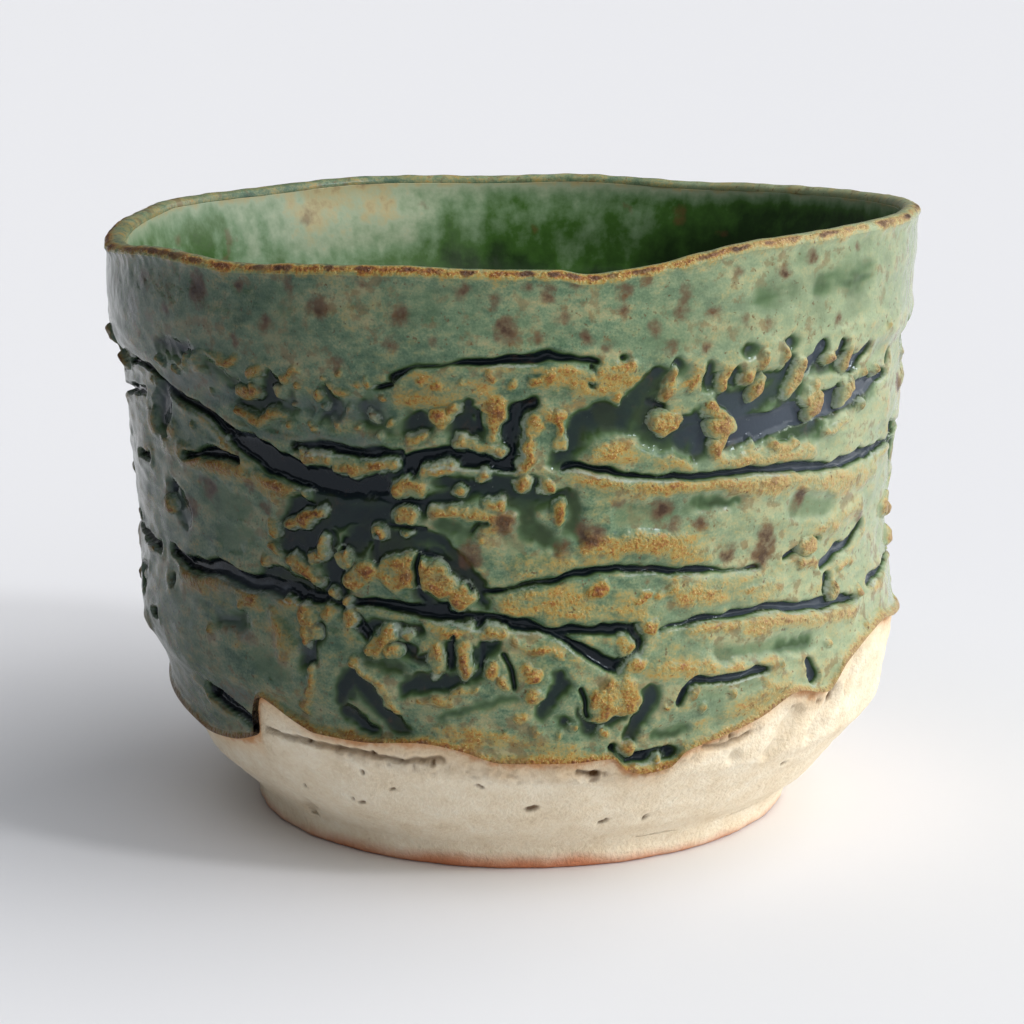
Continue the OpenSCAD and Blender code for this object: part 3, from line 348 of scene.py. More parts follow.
# Brown stains where iron came up through the glaze, on the plates and on the lip
IRON_SPOTS = [
    [(14.2, 29.7, .5)], [(10.5, 27.7, .8)], [(6.5, 26.5, .7)], [(-5.5, 26.3, 1)], [(-1.2, 28.5, .8)],
    [(37.7, 26, 1), (37.1, 24.9, 1)], [(31.3, 25.3, .5)], [(26.3, 27.8, .5)], [(22.6, 28, .5)],
    [(20.5, 29.2, .6)], [(43.6, 28.7, .7)], [(60.5, 25.5, .6)], [(-47, 29, .8)], [(-52, 27, .8)],
    [(-38, 30, .5)], [(-36, 28.4, .6)], [(-.5, 42.4, .9)], [(-6.2, 44.9, .6)], [(-13.9, 43.1, .6)],
    [(-25, 43.6, .7)], [(-45, 43.5, .8), (-45, 44.6, .6)], [(-2.1, 44.4, .4)], [(4.6, 44.7, .5)],
    [(6.2, 43.3, .4)], [(13.9, 44.9, .5)], [(13.9, 43.6, .4)], [(22, 43.5, .5), (22, 44.7, .5)],
    [(26, 43, .4)], [(37, 45.5, .4)], [(9.3, 42, .4)], [(25.5, 40.8, .4)], [(-33, 42, .5)],
    [(-38, 40.6, .4)], [(-15, 41.2, .5)], [(-22.5, 39.6, .5)], [(18, 42.2, .3)], [(-52, 42.2, .5)],
    [(-58, 44, .6)], [(-19, 45.4, .3)], [(-9.6, 41.4, .3)], [(1.6, 45.3, .25)], [(3.2, 41.6, .3)],
    [(17, 45.6, .35)], [(29.4, 45.8, .4)], [(31, 42.4, .35)], [(42, 46.4, .4)], [(12, 41, .35)],
    [(-29, 44.9, .3)], [(35, 41.8, .3)], [(48, 41.6, .35)], [(52, 46.6, .4)], [(-37, 44.6, .35)],
    [(20.4, 40.9, .4)], [(8, 45.5, .3)],
]
# Where the glaze lies thicker on the lip
LIP_POOLS = [[(33, 43.8, .5), (38, 43.9, .6)], [(44, 44.1, .8), (50, 44.2, .8), (55, 44.5, .7)]]

# Larger crumbs of clay, as (angle, course, share of its height, width)
LOWER, MIDDLE, UPPER = 0, 2, 4
CRUMBS = [(-23.5, MIDDLE, .4, 2), (-10.3, MIDDLE, .24, 2.8), (-34.6, MIDDLE, .5, 1.6),
          (-14.6, MIDDLE, .72, 1.6), (-58, MIDDLE, .3, 2.6), (46.2, MIDDLE, .4, 2.8),
          (75, MIDDLE, .5, 2.6), (120, MIDDLE, .3, 2.8), (164, MIDDLE, .4, 3),
          (-112, MIDDLE, .45, 2.6), (-28.8, LOWER, .8, 2.3), (-16.4, LOWER, .75, 2),
          (2.5, LOWER, .7, 2.3), (13, LOWER, .55, 3.4), (-92, LOWER, .6, 2.8), (-136, LOWER, .6, 2.6),
          (124, LOWER, .6, 2.6), (-38, UPPER, .6, 2.3), (-9.2, UPPER, .45, 2.3),
          (-2.5, UPPER, .55, 2.2), (6, UPPER, .45, 2), (20, UPPER, .5, 2.6), (28.5, UPPER, .4, 3),
          (34, UPPER, .7, 2.3), (41, UPPER, .75, 2.3), (45, UPPER, .5, 2.6), (52.4, UPPER, .55, 2.6),
          (98, UPPER, .6, 3), (150, UPPER, .55, 2.6), (-130, UPPER, .5, 3)]

# Bare clay: the creases under the glaze line, the pits, the crumbly places and the dents
CREASE = [[(-41, 10.9, .12), (-35.8, 10.7, .14), (-24.7, 10.6, .14), (-16.7, 10.4, .12), (-10.2, 10.7, .1)],
          [(28, 11, .15), (31, 10.8, .15), (36, 11.3, .12)], [(9.5, 9.8, .15), (12.6, 9.6, .15)]]
PITS = [[(2.6, 6.3, .2), (3.6, 6.5, .2)], [(-5.4, 8.7, .1), (-4.4, 8.3, .1)],
        [(-26.5, 5.7, .12), (-25.5, 5.8, .12)], [(-19.6, 7.5, .12), (-18.8, 7.5, .12)],
        [(-37.7, 6.2, .15)], [(-23.5, 8.9, .15)], [(-27.8, 5.9, .12)], [(23.1, 4.8, .25)],
        [(47, 7.6, .2)], [(54, 12.3, .3), (54.2, 12.9, .3)], [(57.7, 12, .2)], [(5.3, 5.4, .1)],
        [(15.2, 4.7, .15), (16.2, 4.9, .12)], [(-32.4, 10.7, .2)], [(-21, 10.7, .2)],
        [(-11.4, 10.3, .2)], [(32.8, 11.5, .2)], [(35.7, 11.5, .2)], [(100, 7, .25)], [(133, 9, .2)],
        [(170, 6, .25)], [(-150, 7.5, .2)], [(-118, 5.5, .25)], [(-95, 8, .2)]]
CRUMBLES = [[(-27, 10.1, .3), (-12, 9.9, .5)], [(-9, 9.8, .6), (4, 9.5, .6), (14, 9.2, .5)],
            [(15, 9, .3), (22, 9.2, .3), (27, 10.6, .5)], [(27, 11.2, .3), (38, 11.9, .3)],
            [(43, 12.8, .4), (50, 12.6, .4)]]
DENTS = [[(-45, 2.7, .5), (-41, 3.9, .4)], [(41, 9.3, .7), (45, 11.8, .9)], [(50, 9.8, .8), (54, 12.4, .9)],
         [(58, 12.6, .6), (60, 15, .6)], [(34, 9.6, .5)], [(128, 6, .7)], [(-130, 4.5, .6)]]


def smooth(value, low, high):
    """Ease from 0 at low to 1 at high: three times the square of the share between them, less twice its
    cube."""
    share = np.clip((value - low) / (high - low), 0, 1)
    return share * share * (3 - 2 * share)


def blend(start, end, share):
    """Straight mix of two values."""
    return start + (end - start) * share


def curve(points, at, period=0):
    """Smooth line through points: cubic pieces whose slope at a point is the harmonic mean of the slopes
    on its two sides, or level where those differ in sign. With a period, the line closes on itself."""
    x, y = np.array(sorted(points), float).T
    if period:
        x = np.concatenate([x - period, x, x + period])
        y = np.tile(y, 3)
    run = np.diff(x)
    slope = np.diff(y) / run
    both = np.maximum(slope[:-1] * slope[1:], 0)
    total = slope[:-1] + slope[1:]
    middle = 2 * both / np.where(both > 0, total, 1)
    tangent = np.concatenate([slope[:1], middle, slope[-1:]])
    i = np.clip(np.searchsorted(x, at, side="right") - 1, 0, len(run) - 1)
    u = np.clip((at - x[i]) / run[i], 0, 1)
    v = 1 - u
    ends = y[i] * (1 + 2 * u) * v * v + y[i + 1] * (3 - 2 * u) * u * u
    return ends + run[i] * u * v * (tangent[i] * v - tangent[i + 1] * u)


def ring_line(points, angle):
    """Height of a line round the cup at an angle."""
    return curve(points, (np.asarray(angle, float) + 180) % 360 - 180, 360)


def wall_radius(angle, height):
    """Radius of the wall: the left and the right outline mixed by the sine of the angle."""
    share = (1 + np.sin(np.radians(angle))) / 2
    return blend(curve(LEFT_WALL, height), curve(RIGHT_WALL, height), share)


def place(radius, angle, height):
    """Points at a radius, an angle from the front and a height."""
    turn = np.radians(angle)
    return np.stack(np.broadcast_arrays(radius * np.sin(turn), -radius * np.cos(turn), height), -1)


def noise(points, size, seed):
    """Gradient noise from about -1 to 1: seeded slopes at the corners of a lattice of that size, each
    multiplied by the way from its corner, and eased together across the cell."""
    draw = np.random.default_rng(seed)
    table = draw.permutation(256)
    slopes = draw.normal(size=(256, 3)).astype(np.float32)
    slopes /= np.linalg.norm(slopes, axis=1, keepdims=True)
    scaled = (points / size).astype(np.float32)
    cell = np.floor(scaled).astype(np.int32)
    part = scaled - cell
    ease = part * part * part * (part * (part * 6 - 15) + 10)
    total = np.zeros(points.shape[:-1], np.float32)
    for corner in np.ndindex(2, 2, 2):
        at = (cell + corner) & 255
        pick = table[(table[(table[at[..., 0]] + at[..., 1]) & 255] + at[..., 2]) & 255]
        weight = np.prod(np.where(corner, ease, 1 - ease), axis=-1)
        total += weight * np.sum(slopes[pick] * (part - np.array(corner, np.float32)), axis=-1)
    return 1.6 * total


def stroke_edge(strokes, angle, height, warp, reach=1.5):
    """Distance from each point to the edge of the nearest stroke: the distance to its line less its half
    width there, so negative inside. Points further off than reach keep reach. Warp moves the points
    sideways and up."""
    field = np.full(height.shape, reach)
    step = 360 / len(angle)
    for stroke in strokes:
        for (a0, z0, w0), (a1, z1, w1) in zip(stroke, stroke[1:] or stroke):
            margin = reach + max(w0, w1) + 0.5
            first = math.floor((min(a0, a1) - margin / DEGREE - angle[0]) / step)
            last = math.ceil((max(a0, a1) + margin / DEGREE - angle[0]) / step)
            columns = np.arange(first, last + 1) % len(angle)
            near = height[:, columns]
            inside = (near.max(1) > min(z0, z1) - margin) & (near.min(1) < max(z0, z1) + margin)
            if not inside.any():
                continue
            rows = slice(np.argmax(inside), len(inside) - np.argmax(inside[::-1]))
            across = ((angle[columns] - a0 + 180) % 360 - 180) * DEGREE + warp[0][rows, columns]
            up = near[rows] - z0 + warp[1][rows, columns]
            run, rise = (a1 - a0) * DEGREE, z1 - z0
            share = np.clip((across * run + up * rise) / max(run * run + rise * rise, 1e-9), 0, 1)
            edge = np.hypot(across - share * run, up - share * rise) - blend(w0, w1, share)
            field[rows, columns] = np.minimum(field[rows, columns], edge)
    return field


def course_edges(angle):
    """Heights of the edges of the bands up the wall at an angle, from the glaze line to under the bead."""
    lower = ring_line(LOWER_TEAR_LINE, angle)
    upper = ring_line(UPPER_TEAR_LINE, angle)
    gape = ring_line(UPPER_TEAR_GAPE, angle)
    ledge = ring_line(LEDGE_LINE, angle)
    return [ring_line(GLAZE_LINE, angle), lower - LOWER_TEAR_W / 2, lower + LOWER_TEAR_W / 2,
            upper - gape / 2, upper + gape / 2, ledge - LEDGE_TEAR_W / 2, ledge + LEDGE_TEAR_W / 2,
            ring_line(RIM_LINE, angle) - RIM_BEAD_H]


def taper(height):
    """How much further out the inside lies near the rim, where the lip thins to its edge."""
    return LIP_TAPER * smooth(height, TAPER_FROM, TAPER_TO)


def carried_round(strokes, seed):
    """The strokes again on the far side: turned half round, kept at the same share of their band's height,
    and each shifted, and made a little wider or narrower, by seeded draws."""
    draw = np.random.default_rng(seed)
    carried = []
    for stroke in strokes:
        turn = 180 + draw.uniform(-1.5, 1.5)
        lift = draw.uniform(-0.4, 0.4)
        widen = draw.uniform(0.8, 1.2)
        copy = []
        for a, z, w in stroke:
            there = float(np.interp(z, course_edges(a), course_edges(a + turn)))
            copy.append((a + turn, there + lift, w * widen))
        carried.append(copy)
    return carried


def side_strokes(middle, seed, count, width):
    """Short seeded strokes between the two faces, most of them nearly level, over the torn courses."""
    draw = np.random.default_rng(seed)
    strokes = []
    for _ in range(count):
        a = middle + draw.uniform(-17, 17)
        z = draw.choice([draw.uniform(34.5, 39.5), draw.uniform(14, 31)])
        run = draw.uniform(0, 4)
        w = width * draw.uniform(0.7, 1.4)
        strokes.append([(a, z, w), (a + run, z + draw.uniform(-0.7, 0.7), w * 0.8)])
    return strokes


def side_tears(middle):
    """The upper and the lower tear carried past one side of the cup along their own lines."""
    angles = np.arange(middle - 26, middle + 27, 4)
    return [[(a, float(ring_line(line, a)), w) for a in angles]
            for line, w in ((UPPER_TEAR_LINE, 0.24), (LOWER_TEAR_LINE, 0.3))]


def all_round(strokes, seed, side_count, side_width):
    """Front strokes, their copies behind, and seeded ones at both sides."""
    right = side_strokes(90, seed + 1, side_count, side_width)
    left = side_strokes(-90, seed + 2, side_count, side_width)
    return strokes + carried_round(strokes, seed) + right + left


def softened(field):
    """A field averaged with its neighbours round the cup and up the wall, several times."""
    for _ in range(6):
        field = (np.roll(field, 2, 1) + field + np.roll(field, -2, 1)) / 3
        field = np.concatenate([field[:1], (field[:-2] + field[1:-1] + field[2:]) / 3, field[-1:]])
    return field


def underside(edge, height):
    """1 below the strokes and 0 above them, from the way the distance to their edge changes up the wall."""
    rise = np.gradient(edge, axis=0) / np.gradient(height, axis=0)
    return softened(smooth(-rise, -0.5, 0.6))


def lump(spot, edge):
    """Relief of a lump by the distance to its edge: a steep foot, a shoulder about level with the glaze,
    and a low peak."""
    foot = 1 - smooth(edge, -0.08, 0.36)
    top = 1 - smooth(edge, -0.5, 0.12)
    grain = 0.07 * noise(spot, 0.8, 36) + 0.05 * noise(spot, 0.4, 37)
    return blend(-1.0, -0.02, foot) + top * (0.32 + 0.26 * noise(spot, 1.2, 35)) + foot * grain


# Levels of the relief: the ground, the shallows, the green and the dark pools, the cracks, the tears, the
# lip, and the rise at the glaze line
GROUND_LEVEL = -0.12
SHALLOW_LEVEL = -0.34
GREEN_LEVEL = -0.6
POOL_LEVEL = -0.98
CRACK_LEVEL = -1.2
TEAR_LEVEL = -2.0
LIP_LEVEL = -0.22
LINE_LEVEL = 0.4


def torn_relief(angle, height, edges):
    """Relief of the torn wall, and how much iron, rime and slate colour there is in its glaze; the slate
    also holds painted shadow under the lip's edge at the far left.

    A gentle ground of noise is raised by swells and brought down to set levels in shallows, pools, tears
    and cracks. Pools ease out further below than above, and tears are sharper below. The relief is curled
    up beside the tears and lifted to lumps along the ridges. Over the ledge it eases into the smooth lip,
    and it rises at the glaze line and the rim."""
    glaze_line, over_ledge, under_bead = edges[0], edges[-2], edges[-1]
    spot = place(WALL_R, angle, height)
    warp = [0.34 * noise(spot, 1.3, seed) + 0.15 * noise(spot, 0.55, seed + 1) for seed in (11, 21)]
    drift = [0.26 * noise(spot, 2.4, seed) + 0.07 * noise(spot, 0.8, seed + 1) for seed in (13, 23)]
    drag = noise(spot * (1, 1, 3.2), 2.2, 31)
    level = GROUND_LEVEL + 0.13 * noise(spot, 3.5, 32) + 0.05 * noise(spot, 1.6, 33) + 0.08 * drag

    swell = stroke_edge(all_round(SWELLS, 101, 6, 0.5), angle, height, warp)
    level += 0.27 * (1 - smooth(swell, -0.5, 0.9))
    shallow = stroke_edge(all_round(SHALLOWS, 111, 4, 0.7), angle, height, warp)
    level = blend(level, SHALLOW_LEVEL, 1 - smooth(shallow, -0.6, 0.5))
    green = stroke_edge(all_round(GREENS, 116, 4, 0.4), angle, height, warp)
    level = blend(level, GREEN_LEVEL, 1 - smooth(green, -0.5, 0.5))
    pool = stroke_edge(all_round(POOLS, 121, 14, 0.4), angle, height, warp)
    basin = stroke_edge(all_round(BASINS, 171, 5, 0.5), angle, height, warp)
    pool = np.minimum(pool - 0.1, basin)
    depth = POOL_LEVEL + 0.2 * noise(spot, 4.5, 44)
    ease = blend(0.35, blend(0.6, 1.3, smooth(height, 20, 26)), underside(pool, height))
    level = blend(level, depth, 1 - smooth(pool, -0.4, ease))
    tears = all_round(TEARS, 131, 7, 0.2) + side_tears(90) + side_tears(-90)
    tear = stroke_edge(tears, angle, height, drift) + 0.15 * noise(spot, 1.5, 42) + 0.05
    under = underside(tear, height)
    curl = np.exp(-((tear - 0.5) / 0.35) ** 2) * (0.5 + 0.5 * noise(spot, 2.6, 34))
    level += blend(0.1, 0.24, under) * curl
    level = blend(level, TEAR_LEVEL, 1 - smooth(tear, -0.28, blend(0.36, 0.16, under)))
    ridge = stroke_edge(all_round(RIDGES, 141, 5, 0.7), angle, height, warp)
    frost = smooth(-level, 0.3, 0.8) * np.exp(-((ridge - 0.06) / 0.14) ** 2)
    frost += 1.2 * under * np.exp(-((tear - 0.16) / 0.12) ** 2) * smooth(noise(spot, 3.2, 43), -0.35, 0.3)
    level = np.where(ridge < 0.4, np.maximum(level, lump(spot, ridge)), level)
    crack = stroke_edge(all_round(CRACKS, 181, 0, 0), angle, height, drift)
    level = blend(level, CRACK_LEVEL, 1 - smooth(crack, -0.12, 0.22))

    lip = smooth(height - over_ledge, -0.3, 1.0)
    lip_pool = stroke_edge(all_round(LIP_POOLS, 151, 0, 0), angle, height, drift)
    lip_level = LIP_LEVEL + 0.08 * noise(spot, 2.6, 38) + 0.03 * noise(spot, 0.7, 39)
    lip_level += 0.07 * noise(spot, 7, 41)
    lip_level -= 0.36 * (1 - smooth(lip_pool, -0.9, 0.9)) * (0.7 + 0.5 * drag)
    level = blend(level, lip_level, lip)
    below_rim = under_bead + RIM_BEAD_H - height
    level += 0.5 * np.exp(-(below_rim / 0.8) ** 2) + 0.2 * np.exp(-below_rim / 1.2) * noise(spot, 0.9, 40)
    over_line = height - glaze_line
    level = blend(level, LINE_LEVEL, np.exp(-(over_line / 0.45) ** 2))

    iron = stroke_edge(all_round(IRON_SPOTS, 161, 4, 0.5), angle, height, warp)
    slate_and_shadow = stroke_edge(all_round(SLATES_AND_LIP_SHADOW, 191, 3, 1.0), angle, height, warp)
    return level, {"iron": 1 - smooth(iron, -0.5, 0.7), "frost": frost * (1 - lip),
                   "slate_and_shadow": 1 - smooth(slate_and_shadow, -0.9, 1.1)}


def glazed_height(level):
    """How far the glazed surface stands over the glaze's own level: the relief itself where it is high, and
    levelled off towards a greatest depth where the glaze has filled it."""
    depth = 0.8
    return np.where(level > 0, level, -depth * (1 - np.exp(np.minimum(level, 0) / depth)))


def shown(name, points, quads, triangles, fields, finish, normals=None):
    """A mesh object at the origin from arrays of points, faces and point values. Normals, where they are
    given, are those of a larger surface that the piece is cut from."""
    mesh = bpy.data.meshes.new(name)
    corners = np.concatenate([quads.ravel(), triangles.ravel()])
    counts = np.concatenate([np.full(len(quads), 4), np.full(len(triangles), 3)])
    mesh.vertices.add(len(points))
    mesh.loops.add(len(corners))
    mesh.polygons.add(len(counts))
    mesh.vertices.foreach_set("co", (points * MM).astype(np.float32).ravel())
    mesh.loops.foreach_set("vertex_index", corners.astype(np.int32))
    mesh.polygons.foreach_set("loop_start", (np.cumsum(counts) - counts).astype(np.int32))
    mesh.polygons.foreach_set("use_smooth", np.ones(len(counts), bool))
    for field, values in fields.items():
        carried = mesh.attributes.new(field, "FLOAT", "POINT").data
        carried.foreach_set("value", values.astype(np.float32).ravel())
    mesh.update(calc_edges=True)
    mesh.validate()
    if normals is not None:
        mesh.normals_split_custom_set_from_vertices(normals.reshape(-1, 3).tolist())
    mesh.materials.append(finish)
    piece = bpy.data.objects.new(name, mesh)
    bpy.context.scene.collection.objects.link(piece)
    return piece


def stands_for(piece, node):
    """The piece takes the place of one node of the frame: it hangs from the root, and the node is hidden."""
    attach(piece, "root")
    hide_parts(node)


def strips(rows, columns, closed):
    """Four-cornered faces between the rows and round the columns of a grid. Closed also joins the last row
    to the first."""
    index = np.arange(rows * columns).reshape(rows, columns)
    over = np.roll(index, -1, 0)
    if not closed:
        index, over = index[:-1], over[:-1]
    faces = np.stack([index, np.roll(index, -1, 1), np.roll(over, -1, 1), over], -1)
    return faces.reshape(-1, 4)


def ring(name, radius, angle, height, fields, finish, normals=None):
    """A closed ring: rows run up the shown face and back down behind it."""
    quads = strips(*radius.shape, True)
    points = place(radius, angle, height).reshape(-1, 3)
    return shown(name, points, quads, np.zeros((0, 3), int), fields, finish, normals)


def grid_normals(points):
    """Outward normals of a grid: the slope along a row, which closes on itself, crossed with the slope up
    a column."""
    along = np.roll(points, -1, 1) - np.roll(points, 1, 1)
    normals = np.cross(along, np.gradient(points, axis=0))
    return normals / np.linalg.norm(normals, axis=-1, keepdims=True)


def end_fans(rows, columns):
    """Triangles that close a grid at its ends: from the first row to the point that follows the grid's own,
    and from the last row to the one after that."""
    first = np.arange(columns)
    last = first + (rows - 1) * columns
    tip = np.full(columns, rows * columns)
    return np.concatenate([np.stack([tip, np.roll(first, -1), first], -1),
                           np.stack([last, np.roll(last, -1), tip + 1], -1)])


def domed(name, radius, angle, height, poles, fields, finish):
    """A closed solid of revolution from a point on the axis to another: rows of points with a fan at both
    ends."""
    quads = strips(*radius.shape, False)
    fans = end_fans(*radius.shape)
    tips = [(0, 0, pole) for pole in poles]
    points = np.concatenate([place(radius, angle, height).reshape(-1, 3), tips])
    ends = {field: np.concatenate([values.ravel(), [values[0].mean(), values[-1].mean()]])
            for field, values in fields.items()}
    return shown(name, points, quads, fans, ends, finish)


def paint(red, green, blue):
    """A colour as it looks on a screen, from 0 to 255, as linear light."""
    screen = np.array([red, green, blue]) / 255
    light = np.where(screen < 0.04045, screen / 12.92, ((screen + 0.055) / 1.055) ** 2.4)
    return (*light, 1.0)


# Places of the colour sockets on a Mix node
MIX_SHARE, MIX_START, MIX_END = 0, 6, 7
MIX_RESULT = 2


class Finish:
    """A material, with short ways to add nodes to it. A value may be a number or another node's output."""

    def __init__(self, name):
        self.material = bpy.data.materials.new(name)
        self.material.use_nodes = True
        self.tree = self.material.node_tree
        self.shader = self.tree.nodes["Principled BSDF"]
        self.where = self.add("TexCoord").outputs["Object"]

    def put(self, socket, value):
        """Sets a socket, or links it to an output."""
        if isinstance(value, bpy.types.NodeSocket):
            self.tree.links.new(value, socket)
        else:
            socket.default_value = value

    def add(self, kind, inputs=None, **settings):
        """A new node with its settings and inputs."""
        node = self.tree.nodes.new("ShaderNode" + kind)
        for name, value in settings.items():
            setattr(node, name, value)
        for key, value in (inputs or {}).items():
            self.put(node.inputs[key], value)
        return node

    def set(self, **values):
        """Sets the shader's own sockets, whose names are written with _ for a space."""
        for name, value in values.items():
            self.put(self.shader.inputs[name.replace("_", " ")], value)

    def field(self, name):
        """A value that the mesh carries."""
        return self.add("Attribute", attribute_name=name).outputs["Fac"]

    def math(self, operation, first, second=0.0):
        """Arithmetic on two values."""
        return self.add("Math", {0: first, 1: second}, operation=operation).outputs[0]

    def times(self, first, second):
        """One value multiplied by another."""
        return self.math("MULTIPLY", first, second)

    def grain(self, size, detail=2.0, stretch=(1, 1, 1)):
        """Noise in 3-D about 0, from -0.5 to 0.5, of a size in millimetres, and stretched along the axes."""
        where = self.add("Mapping", {"Vector": self.where, "Scale": stretch}).outputs[0]
        made = self.add("TexNoise", {"Vector": where, "Scale": 1 / (size * MM), "Detail": detail,
                                     "Roughness": 0.6})
        return self.math("SUBTRACT", made.outputs["Fac"], 0.5)

    def pebbles(self, size):
        """Rounded granules of a size in millimetres: highest, near 0.4, in their middles."""
        made = self.add("TexVoronoi", {"Vector": self.where, "Scale": 1 / (size * MM)}, feature="SMOOTH_F1")
        return self.math("SUBTRACT", 0.4, made.outputs["Distance"])

    def plus(self, base, value, amount):
        """A base value with some amount of another added."""
        return self.add("Math", {0: value, 1: amount, 2: base}, operation="MULTIPLY_ADD").outputs[0]

    def remap(self, value, low, high, start, end):
        """A value eased from start to end as it goes from low to high."""
        node = self.add("MapRange", {"Value": value, "From Min": low, "From Max": high, "To Min": start,
                                     "To Max": end}, interpolation_type="SMOOTHSTEP")
        return node.outputs["Result"]

    def ramp(self, value, stops):
        """Colours at values, mixed between them."""
        low, high = stops[0][0], stops[-1][0]
        share = self.add("MapRange", {"Value": value, "From Min": low, "From Max": high}).outputs["Result"]
        node = self.add("ValToRGB", {"Fac": share})
        elements = node.color_ramp.elements
        for _ in stops[2:]:
            elements.new(0.5)
        for element, (at, colour) in zip(elements, stops):
            element.position = (at - low) / (high - low)
            element.color = paint(*colour)
        return node.outputs["Color"]

    def mix(self, share, start, end, way="MIX"):
        """One colour over another, by a share."""
        sockets = {MIX_SHARE: share, MIX_START: start, MIX_END: end}
        return self.add("Mix", sockets, data_type="RGBA", blend_type=way).outputs[MIX_RESULT]

    def tint(self, share, colour, by):
        """A colour multiplied by another, by a share."""
        return self.mix(share, colour, by, "MULTIPLY")

    def bump(self, value, height):
        """Fine relief, its height in millimetres."""
        node = self.add("Bump", {"Height": value, "Strength": 1.0, "Distance": height * MM})
        self.set(Normal=node.outputs["Normal"])


# Colours of the finishes, as (value, colour on a screen)
# The deepest glass is slate blue: partly the glass's own dark colour, partly painted reflection of the pale
# sky
GLASS_COLOURS = [(-2.0, (17, 23, 28)), (-1.1, (19, 29, 32)), (-0.9, (30, 44, 38)), (-0.62, (58, 78, 46)),
                 (-0.42, (88, 112, 76)), (-0.2, (112, 132, 98))]
PLATE_COLOURS = [(-0.36, (64, 94, 72)), (-0.14, (94, 120, 92)), (0.04, (120, 140, 108)),
                 (0.18, (146, 152, 114)), (0.38, (172, 164, 122))]
AMBER_COLOURS = [(-0.1, (134, 140, 96)), (0.06, (156, 146, 92)), (0.22, (172, 144, 72)),
                 (0.38, (160, 110, 44)), (0.58, (124, 66, 28)), (0.85, (78, 40, 24))]
INNER_COLOURS = [(-0.95, (16, 34, 12)), (-0.65, (32, 60, 18)), (-0.4, (60, 98, 36)), (-0.2, (114, 142, 104)),
                 (0.0, (160, 174, 144)), (0.14, (180, 168, 124)), (0.35, (120, 84, 48)), (0.6, (86, 52, 28))]
WELL_COLOURS = [(-0.4, (14, 34, 10)), (0.0, (26, 58, 16)), (0.4, (48, 84, 30))]
CLAY_COLOURS = [(-0.5, (212, 190, 156)), (-0.1, (238, 222, 194)), (0.15, (246, 234, 210)),
                (0.5, (252, 246, 230))]
# How much of the painted shade towards -X the rim bead takes
RIM_SHADE = 0.45
# Heights between which the flame's flush on the bare clay fades out
FLASH_LOW, FLASH_HIGH = 0.2, 1.7


